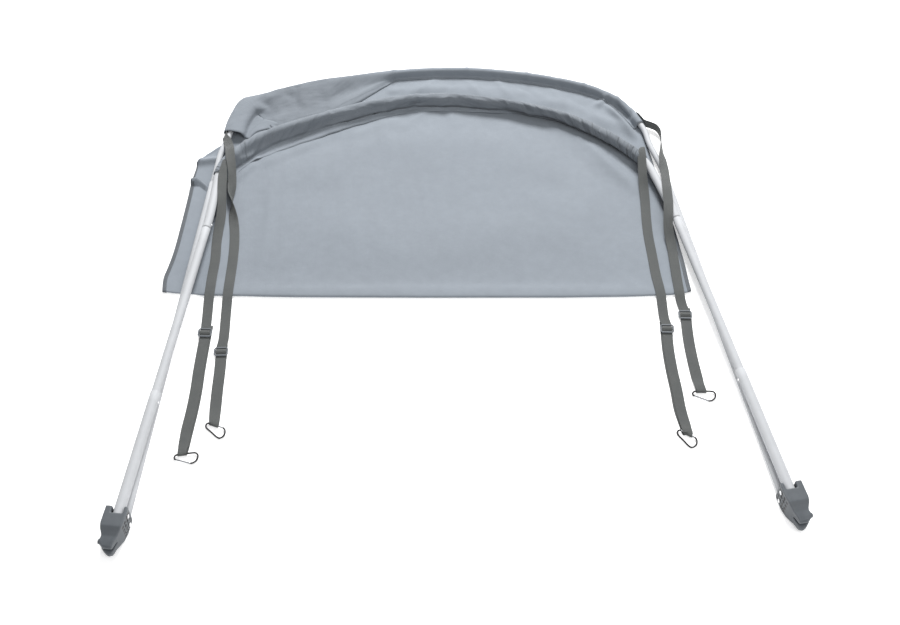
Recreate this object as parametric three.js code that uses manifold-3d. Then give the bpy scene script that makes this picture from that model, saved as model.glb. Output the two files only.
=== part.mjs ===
import * as THREE from 'three';
import Module from 'manifold-3d';
import { mergeVertices } from 'three/addons/utils/BufferGeometryUtils.js';

const wasm = await Module();
wasm.setup();

// Driving sizes, millimetres. Z is up, the feet point to -Y and the bow tops to +Y.
const CLOTH = 1.2;            // canvas thickness
const GAP = 0.4;              // space between pieces that lie on each other
const LOW_Z = 0.6;            // middle of the lower canvas layer
const UP_Z = 2.6;             // middle of the upper canvas layer
const EDGE_LOW_Z = 1.7;       // middle of the lower layer inside its binding
const EDGE_UP_Z = 5.5;        // middle of the upper layer inside its binding
const TAPE = 0.8;             // binding thickness
const TAPE_WIDTH = 9;         // how far the binding reaches over the canvas
const WEB = 1.6;              // strap thickness
const WEB_WIDTH = 25;
const SIDES = 24;             // sides of a straight tube
const ARCH_SIDES = 10;        // sides of a bent tube

// The legs: plan line x = side * (x0 - slope * y), height z = z0 - fall * y.
const LEGS = {
  a_left: { side: -1, x0: 728.6, slope: 0.115, z0: 13.2, fall: 0 },
  a_right: { side: 1, x0: 728.6, slope: 0.12, z0: 13.2, fall: 0 },
  b_left: { side: -1, x0: 738, slope: 0.1485, z0: 40.8, fall: 0.0115 },
  b_right: { side: 1, x0: 738, slope: 0.1515, z0: 40.8, fall: 0.0115 },
};

// Straight tubes: leg, start and end along Y, outer and inner radius.
const TUBES = [
  { name: 'bow_a_lower_left', leg: 'a_left', from: -16, to: 1025, outer: 9.5, bore: 8.4 },
  { name: 'bow_a_lower_right', leg: 'a_right', from: -16, to: 1007.8, outer: 9.5, bore: 8.4 },
  { name: 'bow_b_lower_left', leg: 'b_left', from: -16, to: 331, outer: 12.5, bore: 11.5 },
  { name: 'bow_b_lower_right', leg: 'b_right', from: -16, to: 339, outer: 12.5, bore: 11.5 },
  { name: 'bow_b_middle_left', leg: 'b_left', from: 286, to: 844.5, outer: 11, bore: 9.4 },
  { name: 'bow_b_middle_right', leg: 'b_right', from: 294, to: 828.8, outer: 11, bore: 9.4 },
];

// Centre line of bow A above its rings, left to right.
const ARCH_A = [
  [-603, 1092], [-598.5, 1131], [-578, 1213], [-570, 1255], [-556, 1296], [-540, 1325],
  [-520, 1341], [-491, 1357], [-414, 1389], [-330, 1412], [-258, 1424], [-157, 1439],
  [-42, 1448.5], [45, 1448.5], [132, 1442], [246, 1422], [331, 1400], [413, 1371],
  [467, 1343], [516, 1303], [543, 1262], [561, 1222], [577, 1180], [585, 1120],
];
// Centre line of bow B above its rings, left to right.
const ARCH_B = [
  [-605, 905], [-599, 980], [-595, 1036], [-583, 1080], [-557, 1118], [-520, 1156],
  [-484, 1184], [-430, 1212], [-378, 1232], [-315, 1257], [-253, 1279], [-170, 1304],
  [-85, 1318], [0, 1322], [80, 1314], [160, 1297], [233, 1279], [290, 1257],
  [340, 1236], [400, 1202], [445, 1167], [495, 1122], [538, 1071], [563, 1032],
  [580, 973.5], [596, 905],
];
const A_RADIUS = 8;
const B_RADIUS = 11;
const NECK_RADIUS = 9;
const A_MOUTHS = [[-578, 1213], [569, 1203]];
const B_MOUTHS = [[-594.5, 1040], [552, 1050]];

// Share of the sleeve length at which each canvas column meets its bow.
const COLUMNS = [
  0, 0.025, 0.05, 0.075, 0.1, 0.125, 0.15, 0.18, 0.22, 0.28, 0.35, 0.42, 0.5, 0.58,
  0.65, 0.72, 0.78, 0.82, 0.85, 0.875, 0.9, 0.925, 0.95, 0.973, 0.99, 1,
];

// Materials: colour, roughness, metalness.
const FINISHES = {
  canvas: [0xa7aeb7, 0.9, 0],
  binding: [0x75777a, 0.9, 0],
  webbing: [0x6d6f6e, 0.9, 0],
  tube: [0xd7dade, 0.3, 0.9],
  plastic: [0x686e73, 0.55, 0],
  black_wire: [0x232326, 0.4, 0.3],
  bright_wire: [0xd0d2d6, 0.25, 0.9],
  button: [0xe8e8ea, 0.4, 0.2],
};

const group = new THREE.Group();
group.name = 'bimini_top';

function addNode(name, geometry, finish) {
  const [color, roughness, metalness] = FINISHES[finish];
  const material = new THREE.MeshStandardMaterial({ color, roughness, metalness });
  material.name = `${name}_${finish}`;
  const mesh = new THREE.Mesh(geometry, material);
  mesh.name = name;
  group.add(mesh);
  return mesh;
}

function solidOf(geometry) {
  const bare = geometry.clone();
  bare.deleteAttribute('normal');
  bare.deleteAttribute('uv');
  const merged = mergeVertices(bare, 1e-4);
  return new wasm.Manifold(new wasm.Mesh({
    numProp: 3,
    vertProperties: new Float32Array(merged.attributes.position.array),
    triVerts: new Uint32Array(merged.index.array),
  }));
}

function geometryOf(solid) {
  const mesh = solid.getMesh();
  const geometry = new THREE.BufferGeometry();
  const positions = new THREE.BufferAttribute(new Float32Array(mesh.vertProperties), 3);
  geometry.setAttribute('position', positions);
  geometry.setIndex(new THREE.BufferAttribute(new Uint32Array(mesh.triVerts), 1));
  geometry.computeVertexNormals();
  return geometry;
}

function rawGeometry(points, faces) {
  const geometry = new THREE.BufferGeometry();
  geometry.setFromPoints(points);
  geometry.setIndex(faces.flat());
  geometry.computeVertexNormals();
  return geometry;
}

// Places a geometry drawn in local axes: x along u, y along v, z along w, from an origin.
function placed(geometry, origin, u, v, w) {
  const frame = new THREE.Matrix4().makeBasis(u, v, w).setPosition(origin);
  geometry.applyMatrix4(frame);
  return geometry;
}

function smooth(value, start, end) {
  const t = Math.min(1, Math.max(0, (value - start) / (end - start)));
  return t * t * (3 - 2 * t);
}

function mix(a, b, t) {
  return a + (b - a) * t;
}

// Value of a two-column table at a key, straight between rows.
function tableAt(rows, key) {
  if (key <= rows[0][0]) return rows[0][1];
  for (let i = 1; i < rows.length; i += 1) {
    const [k0, v0] = rows[i - 1];
    const [k1, v1] = rows[i];
    if (key <= k1) return mix(v0, v1, (key - k0) / (k1 - k0));
  }
  return rows[rows.length - 1][1];
}

// Legs
function legPoint(name, y) {
  const leg = LEGS[name];
  return new THREE.Vector3(leg.side * (leg.x0 - leg.slope * y), y, leg.z0 - leg.fall * y);
}

function legFrame(name) {
  const along = legPoint(name, 1).sub(legPoint(name, 0)).normalize();
  const inward = new THREE.Vector3(along.y, -along.x, 0).multiplyScalar(-LEGS[name].side);
  inward.normalize();
  const up = new THREE.Vector3().crossVectors(along, inward).multiplyScalar(LEGS[name].side);
  return { along, inward, up: up.normalize() };
}

function ringTube(outer, bore, length) {
  const profile = [
    [bore, 0], [outer, 0], [outer, length], [bore, length], [bore, 0],
  ];
  return new THREE.LatheGeometry(profile.map(([x, y]) => new THREE.Vector2(x, y)), SIDES);
}

function domedPin(shaft, head, length, rise) {
  const profile = [[0, 0], [shaft, 0], [shaft, length], [head, length]];
  profile.push([head * 0.8, length + rise * 0.7], [head * 0.4, length + rise]);
  profile.push([0, length + rise]);
  return new THREE.LatheGeometry(profile.map(([x, y]) => new THREE.Vector2(x, y)), 10);
}

// Turns a geometry drawn along Y so that it runs from a start point along a direction.
function aimed(geometry, start, direction) {
  const turn = new THREE.Quaternion().setFromUnitVectors(new THREE.Vector3(0, 1, 0), direction);
  geometry.applyQuaternion(turn);
  geometry.translate(start.x, start.y, start.z);
  return geometry;
}

function rod(start, direction, radius, length, sides = 10) {
  const geometry = new THREE.CylinderGeometry(radius, radius, length, sides);
  geometry.translate(0, length / 2, 0);
  return aimed(geometry, start, direction);
}

// Bent tubes
class StationCurve extends THREE.Curve {
  constructor(base, stations) {
    super();
    this.base = base;
    this.stations = stations;
  }

  share(u) {
    const place = u * (this.stations.length - 1);
    const index = Math.min(this.stations.length - 2, Math.floor(place + 1e-9));
    return mix(this.stations[index], this.stations[index + 1], place - index);
  }

  getPoint(u, target = new THREE.Vector3()) {
    return this.base.getPointAt(Math.min(1, this.share(u)), target);
  }

  getPointAt(u, target) {
    return this.getPoint(u, target);
  }

  getTangentAt(u, target) {
    return this.base.getTangentAt(Math.min(1, this.share(u)), target);
  }
}

function archLine(points, starts, zAt) {
  const knots = [...starts[0], ...points, ...starts[1]];
  const line = knots.map(([x, y]) => new THREE.Vector3(x, y, zAt(y)));
  const curve = new THREE.CatmullRomCurve3(line, false, 'centripetal');
  curve.arcLengthDivisions = 1200;
  return curve;
}

function nearestShare(curve, [x, y]) {
  let best = 0;
  let least = Infinity;
  for (let i = 0; i <= 3000; i += 1) {
    const p = curve.getPointAt(i / 3000);
    const distance = Math.hypot(p.x - x, p.y - y);
    if (distance < least) {
      least = distance;
      best = i / 3000;
    }
  }
  return best;
}

function sleeveShares(curve, mouths) {
  const [start, end] = mouths.map((mouth) => nearestShare(curve, mouth));
  return COLUMNS.map((share) => mix(start, end, share));
}

function archStations(shares, endSteps) {
  const first = shares[0];
  const last = shares[shares.length - 1];
  const before = Array.from({ length: endSteps }, (_, i) => (first * i) / endSteps);
  const after = before.map((_, i) => mix(last, 1, (i + 1) / endSteps));
  return [...before, ...shares, ...after];
}

function bentTube(curve, stations, radius) {
  const path = new StationCurve(curve, stations);
  const ring = Array.from({ length: ARCH_SIDES }, (_, i) => {
    const angle = (2 * Math.PI * i) / ARCH_SIDES;
    return new THREE.Vector2(radius * Math.cos(angle), radius * Math.sin(angle));
  });
  const options = { extrudePath: path, steps: stations.length - 1, bevelEnabled: false };
  return new THREE.ExtrudeGeometry(new THREE.Shape(ring), options);
}

function plan(name, y) {
  const p = legPoint(name, y);
  return [p.x, p.y];
}

const zBowA = () => LEGS.a_left.z0;
const zBowB = (y) => LEGS.b_left.z0 - LEGS.b_left.fall * y;
const lineA = archLine(ARCH_A, [
  [plan('a_left', 980), plan('a_left', 1006), plan('a_left', 1040)],
  [plan('a_right', 1036), plan('a_right', 1016), plan('a_right', 988), plan('a_right', 963)],
], zBowA);
const lineB = archLine(ARCH_B, [
  [plan('b_left', 845.2), plan('b_left', 866)],
  [plan('b_right', 850), plan('b_right', 829.5)],
], zBowB);
const sharesA = sleeveShares(lineA, A_MOUTHS);
const sharesB = sleeveShares(lineB, B_MOUTHS);

// Snap buttons: leg, bow, place along the leg and whether the button pierces two walls.
const BUTTONS = [
  { name: 'button_b_lower_left', leg: 'b_left', y: 304, radius: 12.5, tubes: 'lower' },
  { name: 'button_b_lower_right', leg: 'b_right', y: 313, radius: 12.5, tubes: 'lower' },
  { name: 'button_b_upper_left', leg: 'b_left', y: 859, radius: 11, tubes: 'arch_b' },
  { name: 'button_b_upper_right', leg: 'b_right', y: 845, radius: 11, tubes: 'arch_b' },
  { name: 'button_a_left', leg: 'a_left', y: 1037, radius: 8, tubes: 'arch_a' },
  { name: 'button_a_right', leg: 'a_right', y: 1020, radius: 8, tubes: 'arch_a' },
];
const BUTTON_RADIUS = 2.8;
const BUTTON_RISE = 2.4;

const cutters = { lower: [], arch_a: [], arch_b: [] };
for (const button of BUTTONS) {
  const { inward } = legFrame(button.leg);
  const centre = legPoint(button.leg, button.y);
  const depth = button.tubes === 'lower' ? 8 : button.radius - 5;
  const start = centre.clone().addScaledVector(inward, depth);
  const reach = button.radius - depth + 6;
  const hole = solidOf(rod(start, inward, BUTTON_RADIUS + 0.35, reach));
  cutters[button.tubes].push({ leg: button.leg, hole });
  const pinStart = centre.clone().addScaledVector(inward, depth + 0.4);
  const length = button.radius - depth - 0.4 + BUTTON_RISE * 0.5;
  const pin = domedPin(BUTTON_RADIUS, BUTTON_RADIUS, length, BUTTON_RISE * 0.5);
  addNode(button.name, aimed(pin, pinStart, inward), 'button');
}

// Foot housings, drawn along the leg of bow B: l along it, w inwards, h up.
const FOOT_SIDE = [
  [24, 0], [-31, 0], [-45, 4], [-58, 9.5], [-70, 11], [-77, 14], [-79.5, 19], [-77, 24],
  [-70, 26], [-50, 26], [-48, 28.5], [-50, 31], [-66, 32], [-71, 35], [-72, 40], [-68, 45],
  [-58, 47], [-45, 48], [-35, 52], [-25, 57], [24, 57],
];
const FOOT_PLAN = [
  [23, -27.7], [24.4, 20.5], [13.6, 21.5], [-12.5, 21], [-29, 18], [-54, 10.5], [-74, 6],
  [-79, -1.8], [-74, -10], [-64, -21], [-56, -23.5], [-43.7, -21.8], [-31, -27], [-18.5, -29],
];
const FOOT_PINS = [
  { bow: 'b', l: 8, h: 40.8, from: -20, head: 5.5 },
  { bow: 'a', l: 3, h: 13.2, from: -6, head: 5.5 },
];
const FOOT_FACE = 21.4;

function extruded(rows, depth) {
  const shape = new THREE.Shape(rows.map(([x, y]) => new THREE.Vector2(x, y)));
  return new THREE.ExtrudeGeometry(shape, { depth, bevelEnabled: false });
}

function boxBetween(l0, l1, w0, w1, h0, h1) {
  const geometry = new THREE.BoxGeometry(l1 - l0, w1 - w0, h1 - h0);
  geometry.translate((l0 + l1) / 2, (w0 + w1) / 2, (h0 + h1) / 2);
  return geometry;
}

function buildFoot(sideName) {
  const legB = `b_${sideName}`;
  const legA = `a_${sideName}`;
  const { inward } = legFrame(legB);
  const flip = -LEGS[legB].side;
  const origin = legPoint(legB, 0).setZ(0);
  const along = new THREE.Vector3(-inward.y, inward.x, 0).multiplyScalar(flip);
  const up = new THREE.Vector3(0, 0, 1);
  const local = (l, w, h) => origin.clone().addScaledVector(along, l)
    .addScaledVector(inward, w).addScaledVector(up, h);
  // The side profile is drawn in (l, h) and pushed across, the plan in (l, w) and pushed up.
  const side = solidOf(extruded(FOOT_SIDE, 70).rotateX(Math.PI / 2).translate(0, 35, 0));
  const top = solidOf(extruded(FOOT_PLAN, 60));
  let body = side.intersect(top);
  body = body.subtract(solidOf(boxBetween(7, 40, -13.3, 13.3, 41, 70)));
  body = body.subtract(solidOf(boxBetween(-8, 40, -26, -15.5, 9, 50)));
  for (let row = 0; row < 4; row += 1) {
    for (let column = 0; column < 4; column += 1) {
      const l = -25 + column * 11.4;
      const h = 5 + row * 11.6;
      const nearA = FOOT_PINS.some((pin) => Math.hypot(l + 4 - pin.l, h + 4 - pin.h) < 9);
      const depth = row > 1 ? 2.6 : 1.1;
      if (nearA) continue;
      const pocket = boxBetween(l, l + 8.4, FOOT_FACE - depth, FOOT_FACE + 5, h, h + 8.6);
      body = body.subtract(solidOf(pocket));
    }
  }
  const boss = new THREE.CylinderGeometry(6, 6, 8, 16).translate(-57, -23, 40);
  body = body.add(solidOf(boss));
  const dimple = new THREE.CylinderGeometry(1.6, 1.6, 6, 8).translate(-57, -27, 40);
  body = body.subtract(solidOf(dimple));
  // The frame below is right-handed on the left foot and mirrored on the right one.
  const matrix = new THREE.Matrix4().makeBasis(along, inward, up).setPosition(origin);
  const bodyGeometry = geometryOf(body);
  bodyGeometry.applyMatrix4(matrix);
  if (matrix.determinant() < 0) {
    const order = bodyGeometry.index.array;
    for (let i = 0; i < order.length; i += 3) [order[i], order[i + 1]] = [order[i + 1], order[i]];
  }
  let foot = solidOf(bodyGeometry);
  for (const [leg, radius] of [[legB, 13.1], [legA, 10.1]]) {
    const bore = rod(legPoint(leg, -19.6), legFrame(leg).along, radius, 80, SIDES);
    foot = foot.subtract(solidOf(bore));
  }
  for (const pin of FOOT_PINS) {
    const start = local(pin.l, pin.from - 0.5, pin.h);
    const hole = rod(start, inward, 3.35, FOOT_FACE - pin.from + 12);
    foot = foot.subtract(solidOf(hole));
  }
  addNode(`foot_${sideName}`, geometryOf(foot), 'plastic');
  return FOOT_PINS.map((pin) => {
    const start = local(pin.l, pin.from, pin.h);
    const length = FOOT_FACE + 0.5 - pin.from;
    const name = `foot_pin_${pin.bow}_${sideName}`;
    addNode(name, aimed(domedPin(3, pin.head, length, 2), start, inward), 'button');
    const hole = rod(local(pin.l, -60, pin.h), inward, 3.35, 120);
    return { leg: `${pin.bow}_${sideName}`, hole: solidOf(hole) };
  });
}

const pinHoles = [...buildFoot('left'), ...buildFoot('right')];

for (const tube of TUBES) {
  const start = legPoint(tube.leg, tube.from);
  const length = legPoint(tube.leg, tube.to).distanceTo(start);
  const shell = aimed(ringTube(tube.outer, tube.bore, length), start, legFrame(tube.leg).along);
  let solid = solidOf(shell);
  if (tube.from < 0) {
    for (const pin of pinHoles.filter((row) => row.leg === tube.leg)) {
      solid = solid.subtract(pin.hole);
    }
  }
  if (tube.name.startsWith('bow_b')) {
    for (const cut of cutters.lower.filter((row) => row.leg === tube.leg)) {
      solid = solid.subtract(cut.hole);
    }
  }
  addNode(tube.name, geometryOf(solid), 'tube');
}

let archA = solidOf(bentTube(lineA, archStations(sharesA, 5), A_RADIUS));
for (const cut of cutters.arch_a) archA = archA.subtract(cut.hole);
addNode('bow_a_arch', geometryOf(archA), 'tube');

let archB = solidOf(bentTube(lineB, archStations(sharesB, 4), B_RADIUS));
for (const [leg, y] of [['b_left', 806], ['b_right', 790]]) {
  const { along } = legFrame(leg);
  archB = archB.add(solidOf(rod(legPoint(leg, y), along, NECK_RADIUS, 46, SIDES)));
}
for (const cut of cutters.arch_b) archB = archB.subtract(cut.hole);
addNode('bow_b_arch', geometryOf(archB), 'tube');

// Canvas: plan outlines of the folded sheet.
const FOLD = [
  [-711, 664], [-693, 661], [-617, 653], [-366, 638], [-39, 623], [287, 610], [489, 605],
  [603, 606], [618, 612],
];
const LOW_LEFT = [
  [-711, 664], [-713, 700], [-698, 769], [-682, 900], [-669, 1057], [-660, 1110],
];
const UP_LEFT = [
  [-711, 664], [-713, 700], [-698, 769], [-692, 809], [-682, 903], [-675, 975], [-670, 1039],
];
const LOW_RIGHT_BOW = [[612, -1], [645, 1.5], [728, 6], [900, 6], [1190, 0]];
const UP_RIGHT_BOW = [[612, 0], [645, 2], [728, 9], [900, 7], [1050, 0]];
// Hem of the flat corner left of each sleeve, from the side edge to the sleeve mouth.
const LOW_FLAP = [[-660, 1110], [-653, 1121], [-640, 1143], [-614, 1168], [-593, 1189]];
const UP_FLAP = [[-670, 1039], [-659, 1041], [-646, 1038], [-624, 1016], [-602, 1019]];
const FLAP = LOW_FLAP.length;
const LAST = FLAP + COLUMNS.length - 1;

// Soft ridges of the two layers: middle, half length, half width, turn in degrees, height.
const LOW_RIDGES = [
  { x: -470, y: 1268, length: 150, width: 17, turn: 35, height: 9 },
  { x: -265, y: 1350, length: 130, width: 17, turn: 18, height: 10 },
  { x: -60, y: 1382, length: 130, width: 20, turn: 4, height: 6 },
  { x: 150, y: 1362, length: 120, width: 20, turn: -9, height: 7 },
  { x: 330, y: 1318, length: 90, width: 18, turn: -28, height: 6 },
  { x: 470, y: 1235, length: 80, width: 18, turn: -44, height: 9 },
];
const UP_RIDGES = [
  { x: -300, y: 1080, length: 160, width: 55, turn: 20, height: 5 },
  { x: -60, y: 1150, length: 190, width: 60, turn: -5, height: 6 },
  { x: 230, y: 1090, length: 170, width: 55, turn: -24, height: 5 },
  { x: -250, y: 850, length: 190, width: 65, turn: -12, height: 4 },
  { x: 120, y: 820, length: 220, width: 70, turn: 10, height: 5 },
  { x: 370, y: 900, length: 110, width: 60, turn: 60, height: 3.5 },
];

function along2d(points, share) {
  const lengths = points.slice(1).map((point, i) => {
    const [x, y] = points[i];
    return Math.hypot(point[0] - x, point[1] - y);
  });
  const total = lengths.reduce((sum, length) => sum + length, 0);
  let rest = share * total;
  for (let i = 0; i < lengths.length; i += 1) {
    if (rest <= lengths[i] || i === lengths.length - 1) {
      const t = lengths[i] === 0 ? 0 : rest / lengths[i];
      return [mix(points[i][0], points[i + 1][0], t), mix(points[i][1], points[i + 1][1], t)];
    }
    rest -= lengths[i];
  }
  return points[points.length - 1];
}

function ridgeHeight(rows, x, y) {
  return rows.reduce((sum, row) => {
    const turn = THREE.MathUtils.degToRad(row.turn);
    const dx = x - row.x;
    const dy = y - row.y;
    const p = (dx * Math.cos(turn) + dy * Math.sin(turn)) / row.length;
    const q = (-dx * Math.sin(turn) + dy * Math.cos(turn)) / row.width;
    return sum + row.height * Math.exp(-(p * p + q * q));
  }, 0);
}

function archY(rows, x) {
  return tableAt(rows.filter(([px]) => Math.abs(px) < 577), x);
}

function foldY(x) {
  return tableAt(FOLD, x);
}

function lowHeight(x, y) {
  const fromB = smooth(y - archY(ARCH_B, x), 26, 44);
  const fromA = smooth(archY(ARCH_A, x) - y, 30, 46);
  return LOW_Z + ridgeHeight(LOW_RIDGES, x, y) * fromB * fromA;
}

// The layers lie pressed flat under the left leg of bow A.
function pressed(x, y) {
  return smooth(Math.abs(x - legPoint('a_left', y).x), 20, 46);
}

function upHeight(x, y) {
  const bulge = 3 * pressed(x, y) * (1 - smooth(y - foldY(x), 6, 52));
  const inside = 1 - smooth(Math.abs(x), 400, 500);
  const calm = smooth(archY(ARCH_B, x) - y, 55, 110) * smooth(y - foldY(x), 40, 110);
  return UP_Z + bulge + ridgeHeight(UP_RIDGES, x, y) * inside * calm;
}

// Sleeve sections: n runs inwards from the tube middle, z up.
function stationFrame(curve, share) {
  const point = curve.getPointAt(share);
  const tangent = curve.getTangentAt(share).setZ(0).normalize();
  return { point, inward: new THREE.Vector3(tangent.y, -tangent.x, 0) };
}

function roundTube(zTube, radius, angles) {
  return angles.map((degrees) => {
    const angle = THREE.MathUtils.degToRad(degrees);
    return [radius * Math.cos(angle), zTube + radius * Math.sin(angle)];
  });
}

const A_LOOP = 9.45;
const B_LOOP = 12.6;
const OVER = [180, 144, 108, 72, 36];
// Along the front sleeve: share of its length, and there how far the hem reaches in front of
// the tube, how far the layer ends behind it, and how tight the sleeve sits (1 is snug).
const B_HEM = [
  [0, 38], [0.1, 33], [0.2, 27], [0.3, 22], [0.4, 22], [0.5, 25], [0.65, 24], [0.75, 22],
  [0.85, 28], [0.93, 32], [1, 28],
];
const B_BACK = [[0, 14], [0.025, 3], [0.05, -7], [0.85, -7], [0.95, -12], [1, -18]];
const B_TIGHT = [[0, 1], [0.025, 0.85], [0.05, 0.2], [0.075, 0], [1, 0]];

// Section of the rear sleeve, from the flat layer round the back to the hem end.
function sectionA(layerZ) {
  const z = zBowA();
  const hem = layerZ + CLOTH + GAP;
  return [
    [-8.6, layerZ + 3.4], [-9.5, layerZ + 7.4], ...roundTube(z, A_LOOP, OVER),
    [10.4, z - 1], [12.4, hem + 3.6], [15.5, hem + 0.5], [21, hem],
  ];
}

// Section of the front sleeve, loose or tight round its tube.
function sectionB(layerZ, column) {
  const share = COLUMNS[column];
  const z = sleeveZ(column);
  const hem = layerZ + CLOTH + GAP;
  const end = tableAt(B_HEM, share);
  const back = tableAt(B_BACK, share);
  const tight = tableAt(B_TIGHT, share);
  const rear = Math.min(back, -7);
  const loose = [
    [rear - 3, layerZ + 2.2], [rear - 5, layerZ + 6.5], [Math.min(rear, -9.5) - 3.4, z * 0.6],
  ];
  const snug = roundTube(z, B_LOOP + 0.4, [-66, -112, -158]);
  const start = loose.map(([n, h], i) => [mix(n, snug[i][0], tight), mix(h, snug[i][1], tight)]);
  const foot = Math.max(17, end - 9);
  return [
    ...start, ...roundTube(z, B_LOOP, OVER),
    [mix(12.9, foot, 0.16), z - 4], [mix(12.9, foot, 0.55), hem + 9],
    [foot, hem + 1.4], [end, hem],
  ];
}

function sleeveZ(column) {
  return lineB.getPointAt(sharesB[column]).z;
}

// Plan place of each column at the end of a flat layer, under its sleeve.
function layerEnd(curve, shares, flap, backRows) {
  const ends = flap.map(([x, y]) => [x, y]);
  shares.forEach((share, i) => {
    const { point, inward } = stationFrame(curve, share);
    const n = tableAt(backRows, COLUMNS[i]);
    ends.push([point.x + inward.x * n, point.y + inward.y * n]);
  });
  return ends;
}

const endLow = layerEnd(lineA, sharesA, LOW_FLAP, [[0, -4], [1, -4]]);
const endUp = layerEnd(lineB, sharesB, UP_FLAP, B_BACK);

// Plan place of each column on the fold line.
const foldPoints = Array.from({ length: LAST + 1 }, (_, i) => {
  const first = endLow[0][0];
  const last = endLow[LAST][0];
  const byX = (endLow[i][0] - first) / (last - first);
  const byIndex = tableAt([[0, 0], [1, 0.0085], [2, 0.024], [3, 0.042], [4, 0.06], [5, 0.078],
    [6, 0.098], [7, 0.116], [LAST - 4, 0.94], [LAST - 3, 0.957], [LAST - 2, 0.974],
    [LAST - 1, 0.9915], [LAST, 1]], i);
  const middle = smooth(i, 6, 10) * (1 - smooth(i, LAST - 9, LAST - 4));
  return along2d(FOLD, mix(byIndex, byX, middle));
});

// A flat layer in plan: straight lines from the fold to the sleeve, bent near the side edges.
function layerPlan(ends, leftEdge, rightBow) {
  const corner = foldPoints[0];
  return (column, v) => {
    const f = foldPoints[column];
    const e = ends[column];
    let x = mix(f[0], e[0], v);
    let y = mix(f[1], e[1], v);
    const [lx, ly] = along2d(leftEdge, v);
    const leftPull = 1 - smooth(column, 1.2, 9);
    x += (lx - mix(corner[0], ends[0][0], v)) * leftPull;
    y += (ly - mix(corner[1], ends[0][1], v)) * leftPull;
    x += tableAt(rightBow, y) * smooth(column, LAST - 8, LAST - 1);
    return [x, y];
  };
}

const planLow = layerPlan(endLow, LOW_LEFT, LOW_RIGHT_BOW);
const planUp = layerPlan(endUp, UP_LEFT, UP_RIGHT_BOW);

function edgeShare(column) {
  const fromEdge = Math.min(column, LAST - column);
  return 1 - smooth(fromEdge, 1, 3);
}

const V_LOW = [1, 0.984, 0.966, 0.945, 0.918, 0.885, 0.85, 0.79, 0.66, 0.48, 0.3, 0.14, 0.045];
const V_UP = [0.025, 0.055, 0.11, 0.2, 0.31, 0.43, 0.55, 0.67, 0.78, 0.86, 0.91, 0.95, 1];
const FOLD_TURN = [-90, -45, 0, 45, 90];

function layerRow(planOf, heightOf, edgeZ, v) {
  return Array.from({ length: LAST + 1 }, (_, i) => {
    const [x, y] = planOf(i, v);
    const z = mix(heightOf(x, y), edgeZ, edgeShare(i));
    return new THREE.Vector3(x, y, z);
  });
}

const rows = [];
const kinds = [];
function pushRow(kind, row) {
  rows.push(row);
  kinds.push(kind);
}

function sleeveRows(curve, shares, layerRowNow, sectionOf) {
  const count = sectionOf(LOW_Z, 0).length;
  return Array.from({ length: count }, (_, k) => layerRowNow.map((node, i) => {
    if (i < FLAP) return node.clone();
    const column = i - FLAP;
    const { point, inward } = stationFrame(curve, shares[column]);
    const [n, z] = sectionOf(node.z, column)[k];
    return new THREE.Vector3(point.x + inward.x * n, point.y + inward.y * n, z);
  }));
}

const lowRows = V_LOW.map((v) => layerRow(planLow, lowHeight, EDGE_LOW_Z, v));
const upRows = V_UP.map((v) => layerRow(planUp, upHeight, EDGE_UP_Z, v));
const foldRows = FOLD_TURN.map((degrees) => foldPoints.map(([x, y], i) => {
  const share = edgeShare(i);
  const low = mix(LOW_Z, EDGE_LOW_Z, share);
  const high = mix(UP_Z + 3 * pressed(x, y), EDGE_UP_Z, share);
  const angle = THREE.MathUtils.degToRad(degrees);
  const radius = (high - low) / 2;
  const out = radius * Math.cos(angle) * mix(1.4, 1, share);
  return new THREE.Vector3(x, y - out, (low + high) / 2 + radius * Math.sin(angle));
}));

sleeveRows(lineA, sharesA, lowRows[0], sectionA).reverse().forEach((row) => pushRow('sleeve', row));
lowRows.forEach((row) => pushRow('low', row));
foldRows.forEach((row) => pushRow('fold', row));
upRows.forEach((row) => pushRow('up', row));
sleeveRows(lineB, sharesB, upRows[upRows.length - 1], sectionB)
  .forEach((row) => pushRow('sleeve', row));

function nodeExists(row, column) {
  return kinds[row] !== 'sleeve' || column >= FLAP;
}

function cellExists(row, column) {
  return nodeExists(row, column) && nodeExists(row + 1, column)
    && nodeExists(row, column + 1) && nodeExists(row + 1, column + 1);
}

function neighbour(row, column, dRow, dColumn) {
  const r = row + dRow;
  const c = column + dColumn;
  const inside = r >= 0 && r < rows.length && c >= 0 && c <= LAST && nodeExists(r, c);
  return inside ? rows[r][c] : null;
}

function nodeNormal(row, column) {
  const here = rows[row][column];
  const left = neighbour(row, column, 0, -1) ?? here;
  const right = neighbour(row, column, 0, 1) ?? here;
  const before = neighbour(row, column, -1, 0) ?? here;
  const after = neighbour(row, column, 1, 0) ?? here;
  const across = right.clone().sub(left).normalize();
  const first = here.clone().sub(before).normalize();
  const second = after.clone().sub(here).normalize();
  const along = first.clone().add(second).normalize();
  const bend = first.lengthSq() && second.lengthSq() ? Math.max(0.55, along.dot(second)) : 1;
  return new THREE.Vector3().crossVectors(across, along).normalize().divideScalar(bend);
}

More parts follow.
